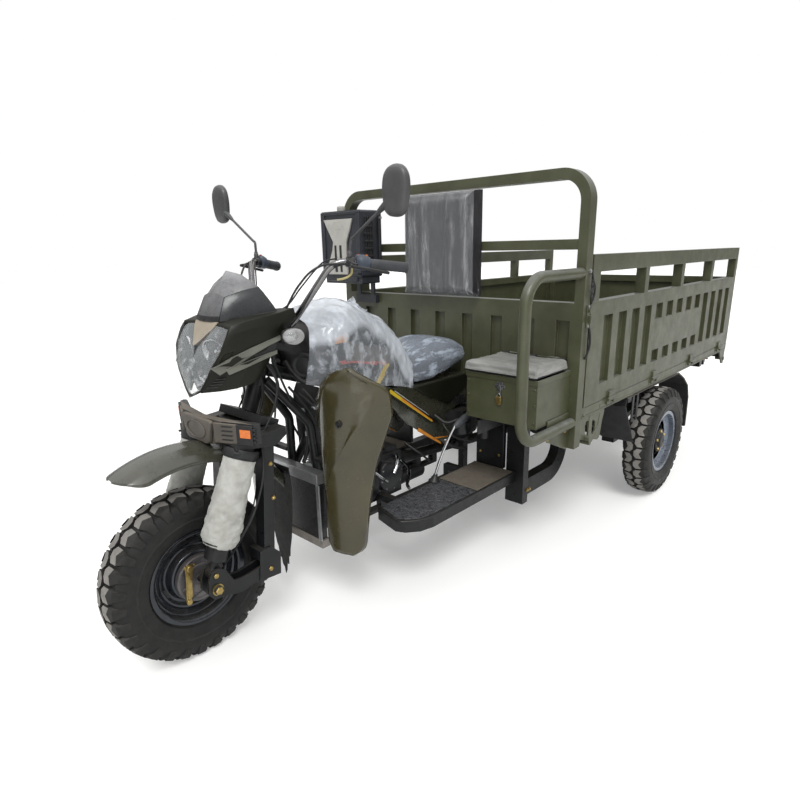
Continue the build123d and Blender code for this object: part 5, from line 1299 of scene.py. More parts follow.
fairingLook = {"rows": [[(0, 152, 1101), (0, 200, 1108), (0, 250, 1112), (0, 300, 1114), (60, 340, 1118)],
    [(67, 157, 1097), (74, 200, 1108), (84, 250, 1115), (96, 300, 1120), (104, 352, 1126)],
    [(136, 152, 1092), (150, 200, 1103), (160, 255, 1112), (170, 312, 1121), (170, 362, 1130)],
    [(143, 136, 1066), (156, 192, 1076), (168, 250, 1086), (177, 312, 1095), (176, 366, 1104)],
    [(139, 112, 1018), (153, 166, 1030), (164, 228, 1046), (171, 288, 1060), (168, 346, 1076)],
    [(106, 92, 966), (144, 146, 988), (157, 206, 1008), (162, 264, 1026), (156, 316, 1042)], [(92, 88, 944),
    (136, 138, 956), (150, 190, 970), (153, 244, 984), (146, 290, 998)], [(46, 80, 888), (116, 112, 898),
    (146, 150, 904), (150, 196, 910), (146, 232, 918)], [(30, 92, 882), (84, 128, 890), (108, 162, 897),
    (112, 200, 904), (108, 230, 910)],], "lens": [[(60, 148, 1086), (96, 150, 1087), (131, 150, 1078)],
    [(36, 126, 1052), (92, 124, 1050), (134, 128, 1044)],
    [(10, 108, 1022), (76, 106, 1016), (129, 112, 1012)], [(0, 92, 980), (58, 90, 975), (102, 92, 968)],
    [(0, 78, 925), (38, 82, 922), (72, 86, 922)], [(0, 72, 880), (22, 76, 882), (42, 82, 892)]]}


def makeFairing():
    left = flipped(gridShape([places(row) for row in fairingLook["rows"]]))
    shape = joined([left, mirroredShape(left)])
    piece = addPiece("noseFairing", shape, "oliveLacquerDark", "steering", sharp=16)
    weld = piece.modifiers.new("weld", "WELD")
    weld.merge_threshold = 0.0012
    solidified(piece, 4.0, 2.2)
    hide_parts("headlamp_fairing")
    # rim that steps in round the lamp, and the beige panel between the lamps
    rim = [(66, 155, 1096), (136, 152, 1092), (143, 136, 1066), (139, 112, 1018), (106, 92, 966),
        (92, 88, 944), (46, 80, 888), (0, 68, 868)]
    inner = [(64, 150, 1087), (130, 150, 1082), (135, 136, 1062), (131, 116, 1019), (99, 97, 968),
        (85, 93, 946), (42, 84, 896), (0, 76, 878)]
    strip = gridShape([places(rim), places(inner)])
    lip = addPiece("lampRim", joined([strip, mirroredShape(strip)]), "oliveLacquerDark", "steering")
    solidified(lip, 2.0, 0.8)
    panel = [(-66, 156, 1098), (66, 156, 1098), (60, 146, 1084), (9, 106, 1032), (0, 103, 1027),
        (-9, 106, 1032), (-60, 146, 1084)]
    beige = slabShape([place(x, y - 4, z) for x, y, z in panel], [place(x, y + 10, z) for x, y, z in panel])
    addPiece("lampCentrePanel", beige, "beigePanelPlastic", "steering", bevel=2.0)


def proudStrip(name, outline, finishName, lift=3.0):
    # a raised trim on the fairing's side; outline points (x, y, z) in millimetres, x outwards
    for side, tag in bothSides:
        top = [place(side * (x + lift), y - 1, z) for x, y, z in outline]
        low = [place(side * (x - 6), y + 2, z) for x, y, z in outline]
        strip = slabShape(top, low)
        addPiece(name + tag, flipped(strip) if side > 0 else strip, finishName, "steering", bevel=1.2)


makeFairing()
# silver fork-shaped trim: a blade from the lamp that splits into two arms
proudStrip("noseTrimUpper", [(104, 90, 970), (120, 104, 978), (146, 144, 1002), (160, 205, 1024),
    (166, 262, 1040), (165, 306, 1050), (163, 306, 1034), (163, 262, 1022), (156, 210, 1001),
    (146, 160, 976), (134, 132, 962), (120, 110, 948)], "silverTrimPaint", 5.0)
proudStrip("noseTrimLower", [(134, 124, 966), (148, 165, 978), (155, 214, 989), (157, 266, 1000),
    (156, 296, 1004), (155, 296, 991), (153, 240, 978), (146, 180, 962), (130, 134, 946)],
    "silverTrimPaint", 5.0)
# the gap between the trim's two arms is drawn as a black strip: painted shade
proudStrip("noseGapShade", [(146, 166, 980), (155, 212, 1001), (162, 262, 1020), (161, 300, 1034),
    (157, 292, 1001), (155, 240, 990), (148, 186, 978)], "blackMouldedPlastic", 1.0)


def makeNoseVents():
    for side, tag in bothSides:
        slats = []
        for k in range(4):
            a = place(side * (70 + 10 * k), 94 + 5 * k - 1.5, 905 + 9 * k)
            b = place(side * (112 + 5 * k), 118 + 3 * k - 1.5, 909 + 9 * k)
            slats.append(tubeShape([a, b], 2.0, 8))
        addPiece("noseVent" + tag, slats, "blackMouldedPlastic", "steering")


makeNoseVents()


# twin headlamp: grey bowls, chrome reflectors, bulbs and one clear cover
lampLook = {"bowl": 44, "bowlDepth": 34}


def makeClear(name, colour, alpha, rough):
    # clear moulded acrylic: see-through, with a hard shine and flutes in the bump; towards grazing angles it
    # turns a near-opaque light grey, a painted sheen
    made, tree = newMaterial(name)
    coord = addNode(tree, "TexCoord").outputs["Object"]
    flute = addNode(tree, "TexWave", {"bands_direction": "X", "Scale": 1000 / 9 / 6.28, "Distortion": 0.6},
        {"Vector": coord})
    bump = addNode(tree, "Bump", {"Strength": 0.35, "Distance": 0.001}, {"Height": flute.outputs[1]})
    # painted sheen: the lens turns more opaque in its own grey towards grazing angles
    edge = addNode(tree, "LayerWeight", {"Blend": 0.4})
    cover = addNode(tree, "MapRange", {3: alpha, 4: 0.9}, {0: edge.outputs["Facing"]})
    shader = addNode(tree, "BsdfPrincipled", {"Base Color": toLinear(colour), "Roughness": rough,
        "IOR": 1.49}, {"Alpha": cover, "Normal": bump})
    addNode(tree, "OutputMaterial", None, {"Surface": shader})
    return made


finish["clearLampAcrylic"] = makeClear("clearLampAcrylic", "#a6aaab", 0.06, 0.06)
finish["signalAcrylic"] = makeClear("signalAcrylic", "#b9b9b9", 0.34, 0.10)


def makeHeadlamp():
    net = [places(row) for row in fairingLook["lens"]]
    grid = filmGrid(net, 4, 4)
    cover = gridShape(grid)
    lens = addPiece("headlampCover", joined([cover, mirroredShape(cover)]), "clearLampAcrylic", "steering",
        sharp=60)
    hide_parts("headlamp_unit")
    back = [[p + Vector((0, 0.030, 0.004)) for p in row] for row in grid]
    bowl = gridShape(back)
    addPiece("headlampHousing", joined([bowl, mirroredShape(bowl)]), "darkEngineCasting", "steering",
        sharp=60)
    chrome, glass = [], []
    for side in (1, -1):
        way = Vector((side * 0.34, -1, -0.25)).normalized()
        spot = place(side * 72, 132, 1010)
        b = lampLook["bowl"]
        profile = [(0, b), (-2, b), (-lampLook["bowlDepth"] * 0.5, b * 0.78),
            (-lampLook["bowlDepth"], b * 0.3), (-lampLook["bowlDepth"] + 2, b * 0.28),
            (-lampLook["bowlDepth"] * 0.48, b * 0.73), (0, b * 0.95)]
        chrome.append(turnedShape(profile + [profile[0]], spot + way * 0.006, way, 40))
        glass.append(turnedShape([(-26, 8), (-12, 9), (-2, 7), (2, 3), (3, 0.1)], spot, way, 20))
        low = place(side * 36, 104, 932)
        chrome.append(turnedShape([(0, 20), (-2, 20), (-14, 12), (-14, 11), (-1, 18), (0, 20)], low, way, 28))
        glass.append(turnedShape([(-12, 5), (-4, 6), (0, 4), (1, 0.1)], low, way, 16))
    addPiece("headlampReflectors", chrome, "mirrorChrome", "steering", sharp=60)
    addPiece("headlampBulbs", glass, "whiteDecalVinyl", "steering", sharp=60)


makeHeadlamp()


def ovalRings(spot, side, rings, sides):
    # rings of a flattened lens, each a distance out and a share of the full oval
    return [[spot + Vector((side * along / 1000, 0.034 * share * math.cos(a), 0.025 * share * math.sin(a)))
             for a in turns(sides)] for along, share in rings]


def makeSignals():
    for side, tag in bothSides:
        node = "signal_left" if side > 0 else "signal_right"
        spot = place(side * 196, 320, 1048)
        rings = ((-2, 0.80), (0, 0.86), (16, 1.0), (30, 0.98), (38, 0.82), (42, 0.52), (43.2, 0.05))
        shape = gridShape(ovalRings(spot, side, rings, 36), closed=True)
        if side < 0:
            shape = flipped(shape)
        lens = addPiece("signalLens" + tag, shape, "signalAcrylic", "steering", sharp=70)
        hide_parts(node)
        inner = ovalRings(spot, side, ((2, 0.78), (4, 0.76), (8, 0.4), (9, 0.05)), 24)
        addPiece("signalReflector" + tag, gridShape(inner, closed=True), "mirrorChrome", "steering", sharp=40)
        pod = []
        for along, share in ((-34, 0.30), (-20, 0.42), (-8, 0.80), (-2, 0.93), (5, 0.97), (5, 0.88)):
            lean = -10 * along / 34
            pod.append([spot + Vector((side * along / 1000, (0.034 * share * math.cos(a)) + 0.0002 * lean,
                0.025 * share * math.sin(a) - 0.0003 * along)) for a in turns(36)])
        addPiece("signalPod" + tag, gridShape(pod, closed=True), "blackMouldedPlastic", "steering", sharp=40)


makeSignals()


# cover across the fork: raised blank badge, slots, black ends with orange reflectors
def onWing(t, z, side=1, proud=0.0):
    # a point on the cover's wing, t from its root to its tip
    a, b = Vector((120, 96, 0)), Vector((226, 142, 0))
    p = a + (b - a) * t
    out = Vector((46, -106, 0)).normalized()
    return place(side * (p.x + out.x * proud), p.y + out.y * proud, z)


def wingPlate(t0, t1, z0, z1, low, high, side, skew=0.0):
    corners = [(t0, z0), (t1, z0), (t1 + skew, z1), (t0 + skew, z1)]
    points = [onWing(t, z, side, low) for t, z in corners] + [onWing(t, z, side, high) for t, z in corners]
    faces = [(3, 2, 1, 0), (4, 5, 6, 7)] + [(i, (i + 1) % 4, (i + 1) % 4 + 4, i + 4) for i in range(4)]
    return (points, faces) if side > 0 else flipped((points, faces))


def makeForkCoverTrim():
    badge = [(-92, 800), (-70, 734), (-54, 726), (54, 726), (70, 734), (92, 800), (80, 806), (-80, 806)]
    shape = plateShape(badge, 76, 90, "y")
    addPiece("forkCoverFace", shape, "greyMouldedPlastic", "steering", bevel=3.0)
    ring = [place(56 * math.cos(a), 74.5, 766 + 27 * math.sin(a)) for a in turns(48, 1)]
    addPiece("forkCoverBadgeRing", tubeShape(ring, 1.6, 8), "greyMouldedPlastic", "steering")
    for side, tag in bothSides:
        face = wingPlate(-0.22, 0.52, 740, 803, -2, 6, side)
        addPiece("forkCoverWing" + tag, face, "greyMouldedPlastic", "steering", bevel=2.0)
        # the slots are drawn as thin black strips on the wing: painted shade in the openings
        slots = [wingPlate(0.02, 0.36, 750 + 14 * k, 755 + 14 * k, 5.2, 6.8, side, 0.04) for k in range(4)]
        addPiece("forkCoverSlots" + tag, slots, "blackMouldedPlastic", "steering")
        end = [wingPlate(0.50, 0.99, 742, 803, -2, 8, side)]
        end += [wingPlate(0.99, 1.06, 748 + 13 * k, 755 + 13 * k, -10, 6, side) for k in range(4)]
        addPiece("forkCoverEnd" + tag, end, "blackMouldedPlastic", "steering", bevel=1.5)
        addPiece("forkCoverReflector" + tag, wingPlate(0.62, 0.94, 764, 790, 7.6, 9.8, side),
            "orangeReflector", "steering", bevel=0.8)


makeForkCoverTrim()


# front mudguard: crowned shell with a rolled lip, pointed in front, rubber flap behind
fenderLook = {"radius": 440.0, "half": 86.8, "drop": 42.0, "rear": 34.0, "front": 117.8, "thick": 3.6}


def makeFender():
    f = fenderLook
    rows, rims = [], [[], []]
    for i in range(73):
        angle = math.radians(f["rear"] + (f["front"] - f["rear"]) * (1 - (1 - i / 72) ** 1.6))
        y = f["radius"] * math.cos(angle)
        half = f["half"] if y > -136 else f["half"] * math.sqrt(max(0.0009, 1 - ((-y - 136) / 70.5) ** 2))
        row = []
        for k in range(-14, 15):
            x = half * k / 14
            crown = f["drop"] * abs(x / f["half"]) ** 2.6
            keel = 2.5 * math.exp(-(x / 14) ** 2) + 2.0 * math.exp(-((abs(x) - 62) / 8) ** 2)
            r = f["radius"] - crown + keel - 2.5
            row.append(place(x, r * math.cos(angle), axleZ + r * math.sin(angle)))
        rows.append(row)
        rims[0].append(row[0])
        rims[1].append(row[-1])
    shell = addPiece("frontMudguard", gridShape(rows), "fenderLacquer", "steering", sharp=60)
    solidified(shell, f["thick"])
    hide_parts("front_fender")
    lips = joined([tubeShape(rim, 3.2, 10) for rim in rims])
    addPiece("frontMudguardLip", lips, "fenderLacquer", "steering", sharp=60)
    edge = [(-70, 562), (70, 562), (79, 480), (70, 380), (55, 284), (40, 226), (36, 196), (27, 190),
        (24, 158), (14, 160), (9, 128), (1, 110), (-4, 138), (-14, 146), (-19, 172), (-29, 176), (-34, 214),
        (-42, 230), (-54, 284), (-70, 380), (-79, 480)]
    y = f["radius"] * math.cos(math.radians(f["rear"]))
    flap = addPiece("frontMudFlap", plateShape(edge, y - 2, y + 2, "y"), "mudFlapRubber", "steering",
        bevel=0.8)
    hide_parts("front_fender")
    stay = joined([boxShape(-30, 30, 200, 236, 655, 734)]
        + [boltShape(place(x, y - 2.2, 540), (0, -1, 0), 8, 4) for x in (-50, 0, 50)])
    addPiece("frontMudguardStay", stay, "blackChassisPaint", "steering", bevel=1.0)


makeFender()
print("front bodywork is made")


# screen: two mid-grey front facets over a black foot, and a side facet each way painted near black as shade
def makeScreen():
    front = [[(0, 150, 1096), (36, 151, 1097), (67, 158, 1098)],
        [(0, 154, 1112), (36, 155, 1113), (66, 163, 1114)],
        [(0, 186, 1182), (30, 187, 1178), (59, 189, 1169)],
        [(0, 213, 1214), (34, 212, 1204), (76, 240, 1185)],
        [(0, 240, 1244), (50, 262, 1232), (92, 291, 1195)]]
    side = [[(67, 158, 1098), (66, 163, 1114), (59, 189, 1169), (76, 240, 1185), (92, 291, 1195)],
            [(80, 184, 1101), (80, 188, 1112), (84, 212, 1146), (94, 258, 1166), (104, 299, 1178)],
            [(106, 244, 1108), (108, 250, 1114), (112, 270, 1128), (122, 296, 1138), (124, 312, 1146)],
            [(141, 322, 1114), (141, 322, 1114), (141, 322, 1115), (141, 322, 1116), (141, 322, 1117)]]
    shapes, slots = [], []
    for rows, isSide in ((front, False), (side, True)):
        grid = [places(row) for row in rows]
        if isSide:
            grid = [list(line) for line in zip(*grid)]
        shape = gridShape(grid)
        shape = flipped(shape)
        for made in (shape, mirroredShape(shape)):
            shapes.append(made)
            slots += [(2 if not isSide and i < 2 else 1 if isSide else 0) for i in range(len(made[1]))]
    piece = addPiece("flyScreen", shapes, ["smokedScreenPlastic", "darkScreenPlastic",
        "blackMouldedPlastic"], "steering", sharp=14)
    for polygon, slot in zip(piece.data.polygons, slots):
        polygon.material_index = slot
    solidified(piece, 3.0, 1.2)
    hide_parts("fly_screen")
    foot = [place(x, y, z) for x, y, z in ((67, 160, 1100), (106, 240, 1110), (141, 318, 1120))]
    for tag, flip in (("Left", 1), ("Right", -1)):
        edge = tubeShape(smoothPath([Vector((p.x * flip, p.y, p.z)) for p in foot], 6), 3.0, 8)
        addPiece("screenEdge" + tag, edge, "blackMouldedPlastic", "steering")


makeScreen()

# mirrors: domed housing, bright glass to the rider, cranked arm
mirrorLook = {"outline": [(431, 1404), (444, 1394), (472, 1390), (494, 1395), (506, 1408), (515, 1440),
    (519, 1478), (513, 1508), (496, 1526), (472, 1532), (446, 1526), (428, 1506), (421, 1470), (424, 1432)],
    "rings": [(534, 0.955), (530, 1.0), (523, 1.0), (516, 0.955), (511, 0.84), (508.6, 0.62), (507.6, 0.3),
    (507.4, 0.01)]}


def makeMirror(name, side, lift):
    m = mirrorLook
    loop = smoothPath([Vector((x, 0, z + lift)) for x, z in m["outline"] + m["outline"][:1]], 4)[:-1]
    middle = Vector((471, 0, 1462 + lift))
    rows = []
    for y, share in m["rings"]:
        row = [middle + (p - middle) * share for p in loop]
        lean = [((p.x - 471) * 0.02, (p.z - 1462 - lift) * 0.03) for p in row]
        rows.append([place(side * p.x, y + a - b * 0.4, p.z) for p, (a, b) in zip(row, lean)])
    shell = gridShape(rows, closed=True)
    shell[1].append(tuple(range(len(loop) - 1, -1, -1)))
    if side < 0:
        shell = flipped(shell)
    base = gripEnd + gripWay * 190 + Vector((0, 0, 16.5))
    knee = base + Vector((6, 4, 52))
    neck = Vector((436, 520, 1428 + lift))
    path = [place(side * p.x, p.y, p.z) for p in (base, base + Vector((3, 2, 34)), knee + Vector((2, 0, 2)),
        knee + (neck - knee) * 0.1, knee + (neck - knee) * 0.75, neck)]
    arm = tubeShape(smoothPath(path, 6), 4.6, 12)
    boss = tubeShape([path[4], path[4] + (path[5] - path[4]) * 0.3, path[5],
        path[5] + Vector((side * 0.026, 0.004, 0.016))], [5.0, 8.0, 11.5, 12.0], 14)
    nut = turnedShape([(0, 6), (0, 8.5), (12, 8.5), (14, 7), (20, 6.4), (20, 5)],
        place(side * base.x, base.y, base.z), (0, 0, 1), 6)
    piece = addPiece(name, joined([shell, arm, boss, nut]), "mirrorHousingPlastic", "steering", sharp=50)
    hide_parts("mirror_left" if side > 0 else "mirror_right")
    glass = [middle + (p - middle) * 0.90 for p in loop]
    front = [place(side * p.x, 534.4 + (p.x - 471) * 0.02 - (p.z - 1462 - lift) * 0.012, p.z) for p in glass]
    back = [p + Vector((0, -0.004, 0)) for p in front]
    slab = slabShape(front, back)
    addPiece(name + "Glass", flipped(slab) if side > 0 else slab, "mirrorChrome", "steering")


makeMirror("mirrorLeft", 1, 0)
makeMirror("mirrorRight", -1, 20)

# tank: pressed shell in dark grey and olive with flashes, black snout, filler cap
tankLook = {"stations": [  # y, top, bottom, half width at the knee, at the crown
    (459, 1000, 880, 118, 70), (468, 1030, 862, 134, 92), (500, 1062, 846, 145, 112),
    (560, 1082, 835, 148, 122), (620, 1089, 827, 149, 124), (690, 1075, 814, 148, 122),
    (760, 1050, 800, 146, 116), (830, 1008, 786, 140, 108), (890, 962, 776, 134, 100),
    (922, 930, 770, 128, 92), (927, 900, 772, 120, 80)]}


def makeTank():
    lines = []
    for y, top, low, wide, crown in tankLook["stations"]:
        knee = low + (top - low) * 0.42
        half = [(0, top), (crown * 0.5, top - 3), (crown * 0.85, top - 16), (crown + 12, top - 46),
            (wide, knee + 20), (wide - 1, knee - 20), (wide - 10, low + 14), (wide - 30, low)]
        whole = [(x, z) for x, z in half] + [(-x, z) for x, z in reversed(half[1:])]
        lines.append([place(x, y, z) for x, z in whole])
    grid = filmGrid(lines, 8, 12)
    shape = gridShape(grid)
    wide = len(grid[0])
    for row, flip in ((0, False), (len(grid) - 1, True)):
        ring = tuple(range(row * wide, row * wide + wide))
        shape[1].append(tuple(reversed(ring)) if not flip else ring)

    def zone(polygon):
        x, y, z = (v * 1000 for v in polygon.center)
        y -= axleY * 1000
        if y < 500:
            return 1
        along = (y - 600) / 170
        if abs(z - (915 - 29 * along)) < 5 and 560 < y < 800:
            return 3
        if 548 < y < 604 and 986 < z < 1012 and abs(x) > 90:
            return 2
        if z < 908 - 26 * along:
            return 4 if abs((y - 786) - (z - 846) * 0.7) < 15 and z > 800 and abs(x) > 90 else 0
        if z > 984 - 44 * along + 8 and y > 604 or z > 1030:
            return 0
        return 1 if y < 604 else 5

    names = ["oliveLacquerDark", "blackMouldedPlastic", "orangeDecalVinyl", "redDecalVinyl",
        "yellowDecalVinyl", "greyMouldedPlastic"]
    piece = addPiece("tankShell", shape, names, "chassis", sharp=60, slots=zone)
    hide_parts("fuel_tank")
    cap = turnedShape([(-6, 30), (4, 33), (12, 33), (15, 30), (17, 24), (18.5, 10), (18.8, 0.1)],
        place(0, 640, 1083), (0, -0.10, 1), 40)
    addPiece("tankCap", cap, "castAluminium", "chassis", sharp=30, bevel=0.8)


makeTank()
print("screen, mirrors and tank are made")


# cables, hoses and the dark works behind the nose
def hose(points, radius, steps=7, sides=10, side=1):
    return tubeShape(smoothPath([place(side * x, y, z) for x, y, z in points], steps), radius, sides)


def makeHoses():
    riders = [hose([(30, 300, 1075), (58, 318, 1020), (84, 330, 950), (92, 352, 880), (76, 392, 806)], 4.0),
        hose([(-26, 300, 1075), (-62, 322, 1010), (-88, 336, 940), (-84, 362, 866), (-58, 402, 800)], 4.0),
        hose([(110, 262, 1000), (122, 300, 930), (112, 322, 868), (96, 318, 820), (108, 300, 770)], 3.5),
        hose([(118, 262, 980), (146, 292, 900), (152, 270, 820), (150, 236, 762), (146, 216, 716)], 3.5),
        hose([(-110, 262, 1000), (-122, 300, 930), (-112, 322, 868), (-96, 318, 820), (-108, 300, 770)],
        3.5), hose([(64, 262, 960), (70, 284, 900), (64, 290, 850), (60, 280, 806), (70, 256, 768)], 5.0)]
    addPiece("forkCables", riders, "blackMouldedPlastic", "steering", sharp=60)
    brake = [hose([(147, 214, 720), (176, 196, 640), (184, 168, 560), (178, 122, 470), (150, 70, 402),
        (96, 44, 384)], 3.6)]
    addPiece("frontBrakeCable", brake, "blackMouldedPlastic", "steering", sharp=60)
    frame = [hose([(42, 410, 846), (66, 436, 800), (84, 470, 740), (92, 520, 640), (84, 560, 560)], 4.5,
        side=side) for side in (1, -1)]
    frame += [hose([(60, 440, 820), (104, 470, 770), (118, 520, 700), (92, 566, 640), (60, 590, 600)], 5.5),
        hose([(-20, 452, 792), (34, 470, 742), (52, 476, 660), (44, 470, 590), (30, 462, 545)], 8.0),
        hose([(96, 430, 842), (128, 452, 800), (136, 500, 742), (118, 560, 690), (80, 600, 660)], 4.0),
        hose([(110, 500, 700), (126, 520, 640), (132, 560, 560), (120, 600, 500), (86, 620, 470)], 4.0)]
    addPiece("frameHoses", frame, "blackMouldedPlastic", "chassis", sharp=60)
    rings = [turnedShape([(-7, 6.5), (-7, 8.5), (7, 8.5), (7, 6.5)], place(*at), way, 20)
        for at, way in (((104, 470, 770), (0.3, 0.6, -0.7)), ((118, 520, 700), (-0.2, 0.6, -0.7)))]
    rings += [turnedShape([(-8, 9), (-8, 11.5), (8, 11.5), (8, 9)], place(*at), way, 20)
        for at, way in (((52, 476, 660), (0, 0, 1)), ((34, 470, 742), (0.5, 0, -0.8)))]
    addPiece("hoseClips", rings, "brightZincPlate", "chassis", sharp=30)
    low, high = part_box("radiator")
    front = (low.y - axleY) * 1000
    bars = [sorted((x - side * 0.016, x + side * 0.0006)) for x, side in ((low.x, -1), (high.x, 1))]
    frame = joined([boxShape(a * 1000, b * 1000, front - 1.2, front + 4, 282, 500) for a, b in bars])
    addPiece("radiatorFrame", frame, "brushedTankAluminium", "chassis", bevel=0.6)
    shell = [(-18, 10), (-16, 26), (-6, 40), (0, 46), (5, 46), (6, 38), (2, 30), (4, 12), (5, 0.1)]
    horn = joined([turnedShape(shell, place(side * 84, 452, 918), (side * 0.5, -0.8, 0), 32)
        for side in (1, -1)])
    addPiece("horns", horn, "blackMouldedPlastic", "chassis", sharp=30)
    loom = [hose([(20, 420, 930), (52, 420, 900), (92, 428, 872), (124, 446, 862), (140, 470, 868)], 9.0,
        side=side) for side in (1, -1)]
    addPiece("wiringLoom", loom, "blackMouldedPlastic", "chassis", sharp=60)
    stays = [hose([(150, 470, 640), (140, 500, 620), (122, 536, 580)], 5.0, 4),
        hose([(150, 470, 560), (134, 510, 556), (116, 550, 552)], 5.0, 4), hose([(150, 474, 600),
        (128, 500, 590), (100, 520, 560), (96, 540, 530)], 3.4, 5)]
    addPiece("chromeWaterPipes", stays, "mirrorChrome", "chassis", sharp=60)


makeHoses()


# engine: finned cylinder, round covers, pipes, starter and dark side panel with a blue top
def makeEngine():
    shapes = [boxShape(-70, 70, 566, 950, 282, 470), boxShape(-56, 56, 566, 940, 470, 492)]
    for side, radius, back in ((1, 70, 868), (-1, 78, 866)):
        shapes.append(turnedShape([(0, 96), (8, 100), (26, 96), (34, 80), (37, 40), (37.5, 0.1)],
            place(side * 68, 700, 384), (side, 0, 0), 40))
        shapes.append(turnedShape([(0, radius), (8, radius + 4), (22, radius), (28, 52), (30, 0.1)],
            place(side * 68, back, 380), (side, 0, 0), 36))
    piece = addPiece("engineCase", shapes, "darkEngineCasting", "chassis", sharp=28, bevel=2.5)
    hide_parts("engine")
    fins = [boxShape(-60, 60, 542, 688, z, z + 3.2) for z in range(500, 600, 9)]
    fins += [boxShape(-48, 48, 556, 674, 494, 600), boxShape(-58, 58, 546, 684, 604, 646),
        boxShape(-46, 46, 556, 674, 646, 662)]
    addPiece("engineBarrel", fins, "castAluminium", "chassis", sharp=30, bevel=0.8)
    bolts = []
    for middle, radius in (((105.5, 700, 384), 84), ((98.5, 868, 380), 60)):
        for k in range(8):
            a = 2 * math.pi * k / 8 + 0.2
            bolts.append(boltShape(place(middle[0] - 10, middle[1] + radius * math.cos(a) * 0.98,
                middle[2] + radius * math.sin(a) * 0.98), (1, 0, 0), 8, 5))
    for k in range(6):
        bolts.append(boltShape(place(-52 + 104 * (k % 2), 560 + 56 * (k // 2), 662), (0, 0, 1), 9, 6))
    addPiece("engineBolts", bolts, "brightZincPlate", "chassis", sharp=30)
    pipes = [hose([(62, 600, 560), (104, 590, 540), (122, 566, 480), (120, 556, 420), (118, 576, 372)],
        10.0), hose([(72, 946, 420), (120, 940, 400), (160, 900, 384), (196, 850, 376), (224, 830, 372)],
        7.0), hose([(76, 900, 458), (112, 880, 470), (142, 850, 452), (150, 820, 420)], 8.0),
        hose([(66, 640, 478), (110, 660, 490), (146, 700, 470), (160, 740, 430), (150, 780, 398)], 6.0)]
    addPiece("enginePipes", pipes, "mirrorChrome", "chassis", sharp=60)
    starter = joined([turnedShape([(0, 10), (0, 30), (6, 34), (96, 34), (104, 28), (112, 12), (112, 0.1)],
        place(98, 640, 448), (0, 1, 0), 28), turnedShape([(0, 12), (0, 16), (60, 16), (62, 12)],
        place(98, 660, 494), (0, 1, 0), 20)])
    addPiece("starterMotor", starter, "darkEngineCasting", "chassis", sharp=30)
    small = [hose([(112, 700, 520), (134, 740, 500), (140, 800, 470), (120, 860, 440)], 4.5),
        hose([(96, 620, 640), (128, 640, 600), (140, 700, 560), (128, 760, 520), (100, 800, 500)], 5.5),
        hose([(30, 700, 640), (60, 760, 620), (70, 820, 560), (60, 860, 500)], 9.0), hose([(86, 960, 500),
        (130, 980, 470), (150, 1010, 440), (140, 1060, 400)], 5.0)]
    addPiece("engineHoses", small, "blackMouldedPlastic", "chassis", sharp=60)


def makeSidePanel():
    outline = [(566, 640), (640, 676), (724, 660), (752, 600), (744, 506), (700, 452), (610, 466), (566, 520)]
    plate = plateShape(outline, 142, 156)
    addPiece("engineSidePanel", plate, "darkPanelPlastic", "chassis", bevel=6.0)
    top = plateShape([(590, 655), (640, 680), (716, 664), (742, 628), (700, 646), (640, 656)], 140, 159)
    addPiece("engineSidePanelTop", top, "bluePanelPlastic", "chassis", bevel=3.0)
    brackets = joined([boxShape(96, 144, 600, 620, 560, 574), boxShape(96, 144, 690, 706, 500, 514)])
    addPiece("engineSideBrackets", brackets, "blackChassisPaint", "chassis", bevel=1.0)


makeEngine()
makeSidePanel()


# decals on the side covers: thin vinyl over the cheek, both sides
def cheekBand(start, end, wide, finishName, name, plane=140.0, lift=0.7):
    (y0, z0), (y1, z1) = start, end
    way = Vector((y1 - y0, z1 - z0)).normalized()
    off = Vector((-way.y, way.x)) * wide / 2
    outline = [(y0 + off.x, z0 + off.y), (y1 + off.x * 0.5, z1 + off.y * 0.5),
        (y1 - off.x * 0.5 + way.x * 14, z1 - off.y * 0.5 + way.y * 14), (y0 - off.x, z0 - off.y)]
    left = plateShape(outline, plane, plane + lift)
    addPiece(name, joined([left, mirroredShape(left)]), finishName, "chassis")


def makeSideCovers():
    # the cheek has a raised black spar along its front edge and a ladder vent under the saddle
    spar = plateShape([(790, 772), (836, 772), (1082, 596), (1120, 566), (1060, 578), (820, 742)], 139, 146)
    addPiece("coverSpars", joined([spar, mirroredShape(spar)]), "oliveLacquerDark", "chassis", bevel=2.0)
    cheekBand((812, 768), (1060, 592), 15, "yellowDecalVinyl", "coverStripeYellow", 146)
    cheekBand((880, 722), (1066, 590), 9, "orangeDecalVinyl", "coverStripeOrange", 146.3)
    cheekBand((838, 764), (1040, 622), 3, "whiteDecalVinyl", "coverStripeWhite", 147)
    cheekBand((984, 566), (1130, 470), 16, "orangeDecalVinyl", "coverStripeLow", 140)
    cheekBand((1090, 500), (1180, 486), 7, "orangeDecalVinyl", "coverStripeTip", 140)
    facet = plateShape([(950, 756), (1316, 756), (1330, 700), (1180, 640), (1040, 700)], 139, 150)
    addPiece("coverUpperFacets", joined([facet, mirroredShape(facet)]), "oliveLacquerDark", "chassis",
        bevel=9.0)
    slats = [plateShape([(1214 + 18 * k, 672 - 3 * k), (1222 + 18 * k, 676 - 3 * k),
        (1252 + 18 * k, 622 - 3 * k), (1244 + 18 * k, 618 - 3 * k)], 139, 144) for k in range(5)]
    addPiece("coverVents", joined(slats + [mirroredShape(s) for s in slats]), "blackMouldedPlastic",
        "chassis", bevel=0.8)


makeSideCovers()


